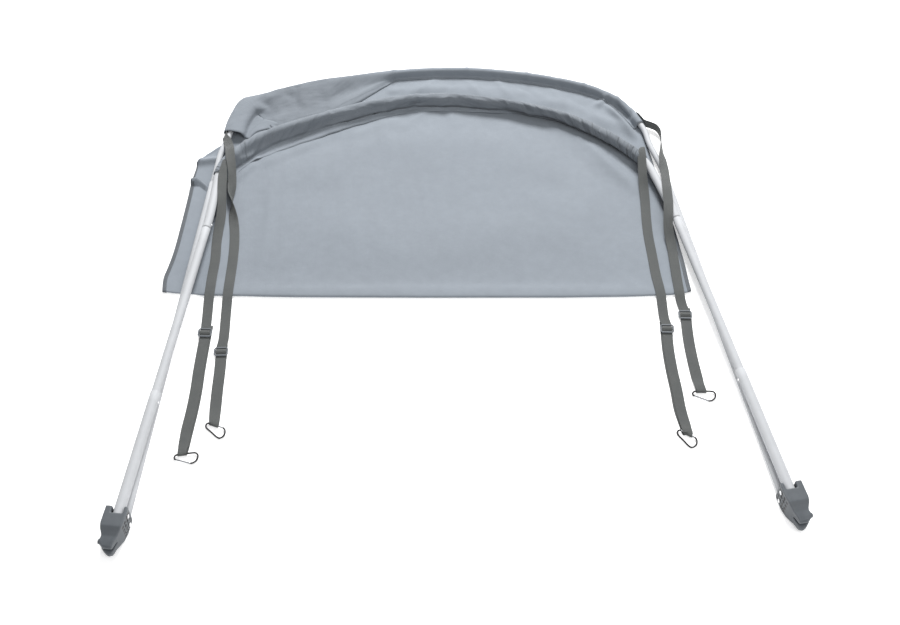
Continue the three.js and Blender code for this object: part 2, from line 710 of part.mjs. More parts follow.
// A closed sheet round a grid of middle points.
function sheetGeometry() {
  const points = [];
  const index = new Map();
  rows.forEach((row, r) => row.forEach((node, c) => {
    if (!nodeExists(r, c)) return;
    const normal = nodeNormal(r, c).multiplyScalar(CLOTH / 2);
    index.set(r * 1000 + c, points.length);
    points.push(node.clone().add(normal), node.clone().sub(normal));
  }));
  const faces = [];
  const edges = new Map();
  const at = (r, c) => index.get(r * 1000 + c);
  for (let r = 0; r < rows.length - 1; r += 1) {
    for (let c = 0; c < LAST; c += 1) {
      if (!cellExists(r, c)) continue;
      const ring = [at(r, c), at(r, c + 1), at(r + 1, c + 1), at(r + 1, c)];
      faces.push([ring[0], ring[1], ring[2]], [ring[0], ring[2], ring[3]]);
      faces.push([ring[0] + 1, ring[2] + 1, ring[1] + 1], [ring[0] + 1, ring[3] + 1, ring[2] + 1]);
      ring.forEach((a, i) => edges.set(`${a},${ring[(i + 1) % 4]}`, [a, ring[(i + 1) % 4]]));
    }
  }
  for (const [a, b] of edges.values()) {
    if (edges.has(`${b},${a}`)) continue;
    faces.push([a, a + 1, b + 1], [a, b + 1, b]);
  }
  return rawGeometry(points, faces);
}

addNode('canvas', sheetGeometry(), 'canvas');

// A closed solid from rings of equal length with flat ends.
function ringSolid(rings, section) {
  const count = section.length;
  const points = rings.flat();
  const faces = [];
  for (let r = 0; r < rings.length - 1; r += 1) {
    for (let i = 0; i < count; i += 1) {
      const j = (i + 1) % count;
      const a = r * count + i;
      const b = r * count + j;
      // Facing walls are split along the same diagonal, so that a twisted run keeps its thickness.
      if (i < count / 2) faces.push([a, b, b + count], [a, b + count, a + count]);
      else faces.push([a, b, a + count], [b, b + count, a + count]);
    }
  }
  const flat = section.map(([x, y]) => new THREE.Vector2(x, y));
  const base = (rings.length - 1) * count;
  for (const [a, b, c] of THREE.ShapeUtils.triangulateShape(flat, [])) {
    faces.push([a, c, b], [base + a, base + b, base + c]);
  }
  const geometry = rawGeometry(points, faces);
  return volumeOf(geometry) < 0 ? turned(geometry) : geometry;
}

function volumeOf(geometry) {
  const position = geometry.attributes.position;
  const order = geometry.index.array;
  const at = (i) => new THREE.Vector3().fromBufferAttribute(position, order[i]);
  let sum = 0;
  for (let i = 0; i < order.length; i += 3) sum += at(i).dot(at(i + 1).cross(at(i + 2)));
  return sum / 6;
}

function turned(geometry) {
  const order = geometry.index.array;
  for (let i = 0; i < order.length; i += 3) [order[i], order[i + 1]] = [order[i + 1], order[i]];
  geometry.computeVertexNormals();
  return geometry;
}

// Bindings: a folded tape round each side edge, along the lower layer, the fold and the upper one.
const INNER = CLOTH / 2 + 0.3;
const OUTER = INNER + TAPE;
const BACK = 0.55;
const TAPE_SECTION = [
  [TAPE_WIDTH, OUTER], [-BACK - TAPE, OUTER], [-BACK - TAPE, -OUTER], [TAPE_WIDTH, -OUTER],
  [TAPE_WIDTH, -INNER], [-BACK, -INNER], [-BACK, INNER], [TAPE_WIDTH, INNER],
];

function bindingGeometry(column, step, firstLow, lastUp) {
  const path = [...lowRows.slice(firstLow), ...foldRows, ...upRows.slice(0, lastUp)];
  const rings = path.map((row, i) => {
    const edge = row[column];
    const inwards = row[column + step].clone().sub(edge).setZ(0).normalize();
    const before = path[Math.max(0, i - 1)][column];
    const after = path[Math.min(path.length - 1, i + 1)][column];
    const first = edge.clone().sub(before).normalize();
    const second = after.clone().sub(edge).normalize();
    const along = first.clone().add(second).normalize();
    const whole = first.lengthSq() && second.lengthSq();
    const bend = whole ? Math.max(0.55, along.dot(second)) : 1;
    const normal = new THREE.Vector3().crossVectors(inwards, along).normalize();
    return TAPE_SECTION.map(([a, b]) => edge.clone().addScaledVector(inwards, a)
      .addScaledVector(normal, b / bend));
  });
  return ringSolid(rings, TAPE_SECTION);
}

addNode('binding_left', bindingGeometry(0, 1, 0, upRows.length), 'binding');
addNode('binding_right', bindingGeometry(LAST, -1, 3, upRows.length - 3), 'binding');

// Straps: middle of the webbing, roll about its run and turn of its width in plan, degrees.
const STRAPS = [
  {
    name: 'strap_b_left',
    slider: [-594.8, 526.6], hook: [-619.8, 181], axis: 5.7, shift: 4, ends: 20,
    run: [
      { x: -583, y: 1030, z: 38, roll: -22 }, { x: -581, y: 985, z: 34.5, roll: -28 },
      { x: -579, y: 948, z: 29, roll: -38 }, { x: -580, y: 905, z: 18, roll: -26 },
      { x: -585, y: 862, z: 8, roll: -8 }, { x: -587.5, y: 820, z: 4.6, roll: 0 },
      { x: -587, y: 762, z: 4.6, roll: 0 }, { x: -590.5, y: 709, z: 5.2, roll: 0 },
      { x: -591.5, y: 672, z: 8.2, roll: 0 }, { x: -592.5, y: 644, z: 8.2, roll: 0 },
      { x: -593.2, y: 618, z: 5, roll: 0 }, { x: -593.5, y: 585, z: 3, roll: 0 },
      { x: -593.8, y: 556, z: 2.9, roll: 0 },
    ],
    lower: [
      { x: -602.1, y: 417 }, { x: -604.5, y: 359 }, { x: -609.1, y: 303 }, { x: -616, y: 247 },
    ],
  },
  {
    name: 'strap_a_left',
    slider: [-551.5, 467.1], hook: [-553, 257.7], axis: -22.5, shift: 2, ends: 22,
    run: [
      { x: -585, y: 1203, z: 24, roll: 0 }, { x: -575, y: 1160, z: 27, roll: 8 },
      { x: -569, y: 1126, z: 42.5, roll: 12 }, { x: -566, y: 1101, z: 45, roll: 0 },
      { x: -561.5, y: 1072, z: 41.5, roll: -22 }, { x: -558, y: 1040, z: 32, roll: -38 },
      { x: -558, y: 1008, z: 22, roll: -30 }, { x: -559, y: 978, z: 17.5, roll: -60 },
      { x: -556, y: 950, z: 17, roll: -95 }, { x: -552.5, y: 922, z: 14, roll: -135 },
      { x: -548.5, y: 895, z: 7.5, roll: -168 }, { x: -544.5, y: 866, z: 4.8, roll: -180 },
      { x: -541.5, y: 820, z: 4.6, roll: -180 }, { x: -541.5, y: 765, z: 4.6, roll: -180 },
      { x: -544, y: 706, z: 5.2, roll: -180 }, { x: -545.5, y: 668, z: 8.2, roll: -180 },
      { x: -546.5, y: 640, z: 8.2, roll: -180 }, { x: -547, y: 614, z: 5, roll: -180 },
      { x: -547.5, y: 580, z: 3, roll: -180 }, { x: -548.2, y: 505, z: 2.9, roll: -180 },
    ],
    lower: [{ x: -551.7, y: 415 }, { x: -553.5, y: 357 }, { x: -554.2, y: 305 }],
  },
  {
    name: 'strap_b_right',
    slider: [540.4, 492.1], hook: [543.9, 187.3], axis: -34.6, shift: -4, ends: 22,
    run: [
      { x: 547.5, y: 1030, z: 36, roll: 30 }, { x: 545.5, y: 995, z: 28, roll: 30 },
      { x: 545.5, y: 960, z: 15, roll: 14 }, { x: 544.5, y: 925, z: 8.5, roll: 3 },
      { x: 542, y: 890, z: 6.2, roll: 0 }, { x: 538.5, y: 845, z: 5.4, roll: 0 },
      { x: 536.5, y: 795, z: 4.6, roll: 0 }, { x: 537, y: 735, z: 4.6, roll: 0 },
      { x: 537.5, y: 665, z: 5.2, roll: 0 }, { x: 539, y: 625, z: 8.2, roll: 0 },
      { x: 540, y: 596, z: 8.2, roll: 0 }, { x: 539.5, y: 570, z: 5, roll: 0 },
      { x: 538.5, y: 540, z: 3, roll: 0 }, { x: 538.8, y: 522, z: 2.9, roll: 0 },
    ],
    lower: [
      { x: 536.3, y: 430 }, { x: 535.9, y: 370 }, { x: 537.9, y: 312 }, { x: 538.6, y: 255 },
    ],
  },
  {
    name: 'strap_a_right',
    slider: [591.5, 533.6], hook: [594.1, 304.35], axis: -2.3, shift: 3, ends: 24,
    run: [
      { x: 573.6, y: 1222.2, z: 15, roll: -90 }, { x: 580.2, y: 1207.2, z: 15, roll: -90 },
      { x: 594, y: 1199, z: 15, roll: -90 }, { x: 610, y: 1188, z: 15, roll: -90 },
      { x: 618.5, y: 1168, z: 15, roll: -90 }, { x: 618, y: 1134, z: 16, roll: -84 },
      { x: 613, y: 1092, z: 20, roll: -62 }, { x: 608.5, y: 1052, z: 27, roll: -28 },
      { x: 606, y: 1008, z: 31, roll: -8 }, { x: 603, y: 970, z: 38, roll: -12 },
      { x: 599.5, y: 930, z: 44, roll: -6 }, { x: 597, y: 895, z: 45, roll: 0 },
      { x: 593.5, y: 862, z: 44.4, roll: 8 }, { x: 589, y: 832, z: 38.5, roll: 26 },
      { x: 587, y: 800, z: 26, roll: 24 }, { x: 589, y: 772, z: 15.5, roll: 12 },
      { x: 590.5, y: 742, z: 10.2, roll: 0 }, { x: 590, y: 712, z: 8.8, roll: 0 },
      { x: 589, y: 678, z: 8.4, roll: 0 }, { x: 588, y: 640, z: 8.6, roll: 0 },
      { x: 587.5, y: 602, z: 8.8, roll: 0 }, { x: 588, y: 580, z: 4.6, roll: 0 },
      { x: 590, y: 562, z: 2.9, roll: 0 },
    ],
    lower: [{ x: 587.3, y: 458 }, { x: 587.4, y: 398 }, { x: 590, y: 340 }],
  },
];

// Sliders: a flat frame with a middle bar.
const SLIDER = { length: 26, width: 34, bar: 4, thick: 2.5, bottom: 4.8 };
const RETURN_Z = 0.95;
const UPPER_Z = 3;
const WIRE = 2;
const HOOK_Z = 4.4;

function strapStations(strap) {
  const slider = new THREE.Vector2(...strap.slider);
  const hook = new THREE.Vector2(...strap.hook);
  const next = strap.lower[0];
  const pull = new THREE.Vector2(next.x, next.y).sub(slider).normalize();
  const last = strap.lower[strap.lower.length - 1];
  const flip = Math.abs(strap.run[strap.run.length - 1].roll) > 90 ? 180 : 0;
  const list = strap.run.map((row) => ({ ...row, side: null, width: WEB_WIDTH }));
  const weave = [
    [-14, UPPER_Z], [-9.4, UPPER_Z], [-2.6, SLIDER.bottom + SLIDER.thick + 1.25],
    [2.6, SLIDER.bottom + SLIDER.thick + 1.25], [9.4, UPPER_Z], [14, UPPER_Z],
  ];
  for (const [step, z] of weave) {
    const spot = slider.clone().addScaledVector(pull, step);
    list.push({ x: spot.x, y: spot.y, z, roll: flip, side: null, width: WEB_WIDTH });
  }
  strap.lower.forEach((row) => {
    list.push({ ...row, z: UPPER_Z, roll: flip, side: null, width: WEB_WIDTH });
  });
  const axis = THREE.MathUtils.degToRad(strap.axis);
  const side = new THREE.Vector2(Math.cos(axis), Math.sin(axis));
  const away = new THREE.Vector2(side.y, -side.x);
  const spread = [[-22, 0.35, 6], [-10, 0.9, 7.6]];
  for (const [step, share, z] of spread) {
    const from = new THREE.Vector2(last.x, last.y);
    const back = hook.clone().addScaledVector(from.sub(hook).normalize(), -step);
    const width = mix(WEB_WIDTH, strap.ends, share);
    list.push({ x: back.x, y: back.y, z, roll: flip, side, share, width });
  }
  const wrap = WIRE + 0.5 + WEB / 2;
  for (const degrees of [90, 50, 10, -30, -60, -90]) {
    const angle = THREE.MathUtils.degToRad(degrees);
    const spot = hook.clone().addScaledVector(away, wrap * Math.cos(angle));
    const z = Math.max(RETURN_Z, HOOK_Z + wrap * Math.sin(angle));
    list.push({ x: spot.x, y: spot.y, z, roll: flip, side, share: 1, width: strap.ends });
  }
  const back = [...spread].reverse().map(([step, share]) => {
    const from = new THREE.Vector2(last.x, last.y);
    const spot = hook.clone().addScaledVector(from.sub(hook).normalize(), -step);
    return { x: spot.x + strap.shift * 0.5, y: spot.y, share, width: mix(WEB_WIDTH, strap.ends, share) };
  });
  const tail = slider.clone().addScaledVector(pull, -24);
  const floor = [...back.map((row) => ({ ...row, side })),
    ...[...strap.lower].reverse().map((row) => ({ x: row.x + strap.shift, y: row.y })),
    { x: slider.x + strap.shift, y: slider.y }, { x: tail.x + strap.shift, y: tail.y }];
  floor.forEach((row) => {
    list.push({ side: null, width: WEB_WIDTH, ...row, z: RETURN_Z, roll: flip, returns: true });
  });
  return list;
}

function strapGeometry(strap) {
  const list = strapStations(strap);
  const points = list.map((row) => new THREE.Vector3(row.x, row.y, row.z));
  const section = [[-0.5, -0.5], [0.5, -0.5], [0.5, 0.5], [-0.5, 0.5]];
  const rings = list.map((row, i) => {
    const before = points[Math.max(0, i - 1)];
    const after = points[Math.min(points.length - 1, i + 1)];
    const first = points[i].clone().sub(before).normalize();
    const second = after.clone().sub(points[i]).normalize();
    const run = first.clone().add(second).normalize();
    const level = new THREE.Vector3(run.y, -run.x, 0).normalize();
    const flat = row.returns ? -1 : 1;
    const side = level.multiplyScalar(flat);
    if (side.x > 0) side.negate();
    if (row.side) {
      const own = new THREE.Vector3(-row.side.x, -row.side.y, 0);
      side.lerp(own, row.share).normalize();
    }
    if (Math.abs(row.roll) === 180) side.negate();
    else side.applyAxisAngle(run, THREE.MathUtils.degToRad(row.roll));
    const normal = new THREE.Vector3().crossVectors(run, side).normalize();
    const whole = first.lengthSq() && second.lengthSq();
    const bend = whole ? Math.max(0.5, Math.abs(run.dot(second))) : 1;
    return section.map(([a, b]) => points[i].clone()
      .addScaledVector(side, a * row.width).addScaledVector(normal, (b * WEB) / bend));
  });
  return ringSolid(rings, section);
}

for (const strap of STRAPS) addNode(strap.name, strapGeometry(strap), 'webbing');

function sliderGeometry(strap) {
  const { length, width, bar, thick, bottom } = SLIDER;
  const corner = 5;
  const shape = new THREE.Shape();
  const x = width / 2;
  const y = length / 2;
  shape.moveTo(-x + corner, -y);
  shape.lineTo(x - corner, -y);
  shape.lineTo(x, -y + corner);
  shape.lineTo(x, y - corner);
  shape.lineTo(x - corner, y);
  shape.lineTo(-x + corner, y);
  shape.lineTo(-x, y - corner);
  shape.lineTo(-x, -y + corner);
  const half = WEB_WIDTH / 2 + 0.6;
  const slot = (length - 3 * bar) / 2;
  for (const start of [-y + bar, bar / 2]) {
    const hole = new THREE.Path();
    hole.moveTo(-half, start);
    hole.lineTo(-half, start + slot);
    hole.lineTo(half, start + slot);
    hole.lineTo(half, start);
    shape.holes.push(hole);
  }
  const geometry = new THREE.ExtrudeGeometry(shape, { depth: thick, bevelEnabled: false });
  const next = strap.lower[0];
  const pull = new THREE.Vector3(next.x - strap.slider[0], next.y - strap.slider[1], 0).normalize();
  const across = new THREE.Vector3(-pull.y, pull.x, 0);
  const origin = new THREE.Vector3(strap.slider[0], strap.slider[1], bottom);
  return placed(geometry, origin, across.negate(), pull, new THREE.Vector3(0, 0, 1));
}

function outwards(geometry) {
  const bare = geometry.clone();
  bare.deleteAttribute('normal');
  bare.deleteAttribute('uv');
  const merged = mergeVertices(bare, 1e-4);
  return volumeOf(merged) < 0 ? turned(merged) : merged;
}

for (const strap of STRAPS) {
  addNode(strap.name.replace('strap', 'slider'), outwards(sliderGeometry(strap)), 'plastic');
}

// Hooks: p runs along the straight back, q towards the gate.
const HOOK_BODY = [
  [-5, 12], [-7.6, 9.5], [-7.8, 5.5], [-5.2, 1.6], [0, 0], [18, 0], [36, 0], [42, 1.6],
  [45.5, 7], [45, 14], [41, 20.5], [34.5, 25], [28.5, 25.8],
];
const GATE = { from: [-3.4, 12.6], to: [27.3, 25.3], radius: 1.7 };
const HOOKS = [
  { name: 'b_left', x: -629.8, y: 180, turn: 5.7, flip: -1 },
  { name: 'a_left', x: -569.4, y: 250.5, turn: -45, flip: 1 },
  { name: 'b_right', x: 521.5, y: 187, turn: -57, flip: 1 },
  { name: 'a_right', x: 581.1, y: 304.9, turn: -2.3, flip: -1 },
];

for (const hook of HOOKS) {
  const turn = THREE.MathUtils.degToRad(hook.turn);
  const p = new THREE.Vector3(Math.cos(turn), Math.sin(turn), 0);
  const q = new THREE.Vector3(-Math.sin(turn), Math.cos(turn), 0).multiplyScalar(hook.flip);
  const origin = new THREE.Vector3(hook.x, hook.y, 0);
  const spot = ([a, b]) => origin.clone().addScaledVector(p, a).addScaledVector(q, b)
    .setZ(HOOK_Z - (hook.flip < 0 ? 0.08 * b : 0.16 * Math.max(0, GATE.from[1] - b)));
  const path = new THREE.CatmullRomCurve3(HOOK_BODY.map(spot), false, 'centripetal');
  const ring = Array.from({ length: 6 }, (_, i) => {
    const angle = (2 * Math.PI * i) / 6;
    return new THREE.Vector2(WIRE * Math.cos(angle), WIRE * Math.sin(angle));
  });
  const options = { extrudePath: path, steps: 22, bevelEnabled: false };
  addNode(`hook_${hook.name}`, new THREE.ExtrudeGeometry(new THREE.Shape(ring), options), 'black_wire');
  const start = spot(GATE.from);
  const reach = spot(GATE.to).sub(start);
  const bar = rod(start, reach.clone().normalize(), GATE.radius, reach.length(), 10);
  addNode(`gate_${hook.name}`, bar, 'bright_wire');
}

// The frame's origin is the middle of the foot line at floor height, moved to the box middle.
const box = new THREE.Box3().setFromObject(group);
group.children.forEach((mesh) => {
  mesh.geometry.translate(-(box.min.x + box.max.x) / 2, -(box.min.y + box.max.y) / 2, -box.min.z);
});

export default group;
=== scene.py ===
from math import acos, atan2, cos, pi, radians, sin

import bpy
import numpy as np
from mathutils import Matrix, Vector, noise


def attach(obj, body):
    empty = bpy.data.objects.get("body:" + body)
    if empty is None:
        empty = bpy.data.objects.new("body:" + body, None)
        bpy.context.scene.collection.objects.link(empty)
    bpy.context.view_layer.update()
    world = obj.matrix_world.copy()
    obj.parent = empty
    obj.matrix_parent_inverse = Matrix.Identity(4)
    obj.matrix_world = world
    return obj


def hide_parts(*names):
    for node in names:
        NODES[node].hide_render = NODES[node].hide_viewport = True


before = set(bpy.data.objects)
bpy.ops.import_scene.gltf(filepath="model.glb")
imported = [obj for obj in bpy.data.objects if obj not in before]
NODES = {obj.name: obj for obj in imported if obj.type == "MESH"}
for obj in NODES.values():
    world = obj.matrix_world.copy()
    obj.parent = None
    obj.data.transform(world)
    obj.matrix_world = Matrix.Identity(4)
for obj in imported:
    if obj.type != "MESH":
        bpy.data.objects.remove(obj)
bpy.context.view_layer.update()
ROOT = "root"

# Sizes are millimetres of the drawing. SHIFT moves them so that the box middle is the origin.
SHIFT = np.array((-0.0856, -690.7748, 0.0806))
LEAST_Z = 0.00002  # metres, just above the floor


def table(columns, rows):
    """Rows of a short table as dictionaries, by the names of its columns."""
    return [dict(zip(columns.split(), row)) for row in rows]


def placed(name, data):
    """A new object in the scene."""
    obj = bpy.data.objects.new(name, data)
    bpy.context.scene.collection.objects.link(obj)
    return obj


# Camera
EYE = (-0.0697, -2.0288, 2.4601)
DOWN = radians(52.2)
HEADING = radians(2.36)
camera = placed("camera", bpy.data.cameras.new("camera"))
camera.data.lens = 50
camera.data.sensor_width = 36
camera.data.clip_start = 0.05
camera.data.clip_end = 60
camera.location = EYE
camera.rotation_euler = (pi / 2 - DOWN, 0, -HEADING)
bpy.context.scene.camera = camera
bpy.context.scene.view_settings.view_transform = "Standard"

# Driving sizes, the same as the solids'.
CLOTH = 1.2
GAP = 0.4
LOW_Z = 0.6
UP_Z = 2.6
EDGE_LOW_Z = 1.7
EDGE_UP_Z = 5.5
TAPE = 0.8
TAPE_WIDTH = 9
WEB = 1.6
WEB_WIDTH = 25

LEGS = {leg["name"]: leg for leg in table("name side x0 slope z0 fall", [
    ("a_left", -1, 728.6, 0.115, 13.2, 0), ("a_right", 1, 728.6, 0.12, 13.2, 0),
    ("b_left", -1, 738, 0.1485, 40.8, 0.0115), ("b_right", 1, 738, 0.1515, 40.8, 0.0115),
])}
TUBES = table("name leg from to outer bore", [
    ("bow_a_lower_left", "a_left", -16, 1025, 9.5, 8.4),
    ("bow_a_lower_right", "a_right", -16, 1007.8, 9.5, 8.4),
    ("bow_b_lower_left", "b_left", -16, 331, 12.5, 11.5),
    ("bow_b_lower_right", "b_right", -16, 339, 12.5, 11.5),
    ("bow_b_middle_left", "b_left", 286, 844.5, 11, 9.4),
    ("bow_b_middle_right", "b_right", 294, 828.8, 11, 9.4),
])
BUTTONS = table("name leg y radius", [
    ("button_b_lower_left", "b_left", 304, 12.5), ("button_b_lower_right", "b_right", 313, 12.5),
    ("button_b_upper_left", "b_left", 859, 11), ("button_b_upper_right", "b_right", 845, 11),
    ("button_a_left", "a_left", 1037, 8), ("button_a_right", "a_right", 1020, 8),
])
FOOT_PINS = table("bow l h from head", [
    ("b", 8, 40.8, -20, 4.6), ("a", 3, 13.2, -6, 4.6),
])
FOOT_FACE = 21.4
ARCH_A = [
    (-603, 1092), (-598.5, 1131), (-578, 1213), (-570, 1255), (-556, 1296), (-540, 1325), (-520, 1341),
    (-491, 1357), (-414, 1389), (-330, 1412), (-258, 1424), (-157, 1439), (-42, 1448.5), (45, 1448.5),
    (132, 1442), (246, 1422), (331, 1400), (413, 1371), (467, 1343), (516, 1303), (543, 1262), (561, 1222),
    (577, 1180), (585, 1120),
]
ARCH_B = [
    (-605, 905), (-599, 980), (-595, 1036), (-583, 1080), (-557, 1118), (-520, 1156), (-484, 1184),
    (-430, 1212), (-378, 1232), (-315, 1257), (-253, 1279), (-170, 1304), (-85, 1318), (0, 1322), (80, 1314),
    (160, 1297), (233, 1279), (290, 1257), (340, 1236), (400, 1202), (445, 1167), (495, 1122), (538, 1071),
    (563, 1032), (580, 973.5), (596, 905),
]
A_RADIUS = 8
B_RADIUS = 11
COLUMNS = [
    0, 0.025, 0.05, 0.075, 0.1, 0.125, 0.15, 0.18, 0.22, 0.28, 0.35, 0.42, 0.5, 0.58, 0.65, 0.72, 0.78, 0.82,
    0.85, 0.875, 0.9, 0.925, 0.95, 0.973, 0.99, 1,
]


# Small helpers
def smooth(value, start, end):
    t = np.clip((value - start) / (end - start), 0, 1)
    return t * t * (3 - 2 * t)


def mix(a, b, t):
    return a + (b - a) * t


def table_at(rows, key):
    return np.interp(key, [r[0] for r in rows], [r[1] for r in rows])


def unit(v):
    v = np.asarray(v, float)
    return v / np.maximum(np.linalg.norm(v, axis=-1, keepdims=True), 1e-12)


def metres(points):
    return (np.asarray(points, float).reshape(-1, 3) + SHIFT) / 1000


def run_length(points, axis=0):
    """Distance along rows of points, from 0 at the first one."""
    steps = np.linalg.norm(np.diff(points, axis=axis), axis=-1)
    return np.insert(np.cumsum(steps, axis), 0, 0, axis)


def refined(knots, steps):
    """A smooth line through rows of knots (rows first), with that many steps in each span."""
    knots = np.asarray(knots, float)
    ends = [2 * knots[0] - knots[1]], [2 * knots[-1] - knots[-2]]
    k = np.concatenate([ends[0], knots, ends[1]])
    gap = np.maximum(np.linalg.norm(np.diff(k[..., :3], axis=0), axis=-1, keepdims=True) ** 0.5, 1e-2)
    out = []
    for i in range(1, len(k) - 2):
        d0, d1, d2 = gap[i - 1], gap[i], gap[i + 1]
        m1 = ((k[i] - k[i - 1]) / d0 - (k[i + 1] - k[i - 1]) / (d0 + d1) + (k[i + 1] - k[i]) / d1) * d1
        m2 = ((k[i + 1] - k[i]) / d1 - (k[i + 2] - k[i]) / (d1 + d2) + (k[i + 2] - k[i + 1]) / d2) * d1
        n = steps[i - 1] if hasattr(steps, "__len__") else steps
        for j in range(n):
            t = j / n
            h = (2 * t**3 - 3 * t**2 + 1, t**3 - 2 * t**2 + t, 3 * t**2 - 2 * t**3, t**3 - t**2)
            out.append(h[0] * k[i] + h[1] * m1 + h[2] * k[i + 1] + h[3] * m2)
    out.append(k[-2])
    return np.array(out)


def read_rows(at, places, rows):
    """Rows of numbers, such as points, read between their places."""
    return np.stack([np.interp(at, places, column) for column in np.transpose(rows)], -1)


def along2d(points, share):
    length = run_length(points)
    return read_rows(share * length[-1], length, points)


LINE_STEPS = 40  # between two knots
LINE_NEAR = 0.002  # share of the length over which a direction is taken


class Line:
    """A bow's centre line by shares of its length, and where its pocket's two mouths are."""

    def __init__(self, knots, leg, mouths):
        self.points = refined([(x, y, leg_z(leg, y)) for x, y in knots], LINE_STEPS)
        along = run_length(self.points)
        self.along = along / along[-1]
        self.mouths = [self.nearest(*mouth) for mouth in mouths]

    def at(self, share):
        return read_rows(share, self.along, self.points)

    def in_pocket(self, share):
        return mix(*self.mouths, share)

    def beside(self, inwards):
        """Places in plan at every column of the canvas, some mm inwards of the pocket's middle line."""
        s = self.in_pocket(shares)
        return self.at(s)[:, :2] + self.inward(s) * np.reshape(inwards, (-1, 1))

    def inward(self, share):
        run = self.at(np.minimum(share + LINE_NEAR, 1)) - self.at(np.maximum(share - LINE_NEAR, 0))
        flat = unit(run[..., :2])
        return np.stack([flat[..., 1], -flat[..., 0]], -1)

    def nearest(self, x, y):
        far = np.hypot(self.points[:, 0] - x, self.points[:, 1] - y)
        return self.along[far.argmin()]


# Meshes
def write_uv(mesh, name, uv):
    """A layer with one (u, v) for each vertex."""
    layer = mesh.uv_layers.new(name=name)
    order = np.zeros(len(mesh.loops), np.int32)
    mesh.loops.foreach_get("vertex_index", order)
    layer.data.foreach_set("uv", np.asarray(uv, np.float32)[order].ravel())


def add_mesh(name, points, faces, material, slot, uv=None, stands_for=None):
    mesh = bpy.data.meshes.new(name)
    places = metres(points)
    places[:, 2] = np.maximum(places[:, 2], LEAST_Z)
    mesh.from_pydata(places.tolist(), [], [tuple(int(i) for i in f) for f in faces])
    if uv is not None:
        write_uv(mesh, "cloth", uv)
    mesh.polygons.foreach_set("use_smooth", [True] * len(mesh.polygons))
    mesh.update()
    mesh.materials.append(material)
    obj = placed(name, mesh)
    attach(obj, ROOT)
    if stands_for:
        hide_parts(stands_for)
    return obj


def ring_faces(rings, sides, looped=False):
    """Faces from ring to ring. The two ends are closed, or joined to each other when looped."""
    faces = []
    for r in range(rings if looped else rings - 1):
        a, b = r * sides, (r + 1) % rings * sides
        faces += [(a + i, a + (i + 1) % sides, b + (i + 1) % sides, b + i) for i in range(sides)]
    if not looped:
        faces.append(tuple(reversed(range(sides))))
        faces.append(tuple(range((rings - 1) * sides, rings * sides)))
    return faces


def moving_frames(path):
    """Two cross directions at every point of a path, without twist."""
    run = unit(np.gradient(path, axis=0))
    first = np.cross(run[0], (0, 0, 1))
    if np.linalg.norm(first) < 1e-3:
        first = np.cross(run[0], (0, 1, 0))
    side = unit(first)
    sides = []
    for t in run:
        side = unit(side - t * (side @ t))
        sides.append(side)
    sides = np.array(sides)
    return sides, np.cross(run, sides)


def circle(sides, u, v):
    """Directions all round in the plane of u and v."""
    angle = np.linspace(0, 2 * pi, sides, endpoint=False)[:, None]
    return np.cos(angle) * u[..., None, :] + np.sin(angle) * v[..., None, :]


def tube_points(path, radii, sides):
    ring = circle(sides, *moving_frames(path))
    return (path[:, None] + ring * np.asarray(radii, float)[:, None, None]).reshape(-1, 3)


WIRE_END = 0.7


def wire_parts(path, radius, sides):
    """A round wire with rounded ends: its points and faces."""
    turns = np.linspace(0, pi / 2, 4)[1:]
    heads, tails = (
        [end + unit(end - near) * radius * WIRE_END * sin(t) for t in turns]
        for end, near in ((path[0], path[1]), (path[-1], path[-2]))
    )
    shrink = [radius * max(cos(t), 0.05) for t in turns]
    whole = np.array(heads[::-1] + list(path) + tails)
    radii = shrink[::-1] + [radius] * len(path) + shrink
    return tube_points(whole, radii, sides), ring_faces(len(whole), sides)


def lathe_parts(profile, start, direction, sides):
    """A turned form: rows of (radius, height) round an axis."""
    direction = unit(direction)
    side = unit(np.cross(direction, (0, 0, 1) if abs(direction[2]) < 0.9 else (0, 1, 0)))
    ring = circle(sides, side, np.cross(direction, side))
    rows = [np.asarray(start) + direction * h + ring * max(r, 0.01) for r, h in profile]
    return np.concatenate(rows), ring_faces(len(rows), sides)


def strip_parts(line, side, normal, ring, across):
    """A closed strip along a line: ring has each corner's shares of side and normal."""
    points = np.stack([line + side * a + normal * b for a, b in ring], 1).reshape(-1, 3)
    uv = np.stack(np.broadcast_arrays(across[None, :], run_length(line)[:, None]), -1).reshape(-1, 2)
    return points, ring_faces(len(line), len(ring)), uv / 1000


def dress(node, material):
    node.data.materials.clear()
    node.data.materials.append(material)


def modify(obj, kind, **settings):
    made = obj.modifiers.new(kind.lower(), kind)
    for key, value in settings.items():
        setattr(made, key, value)


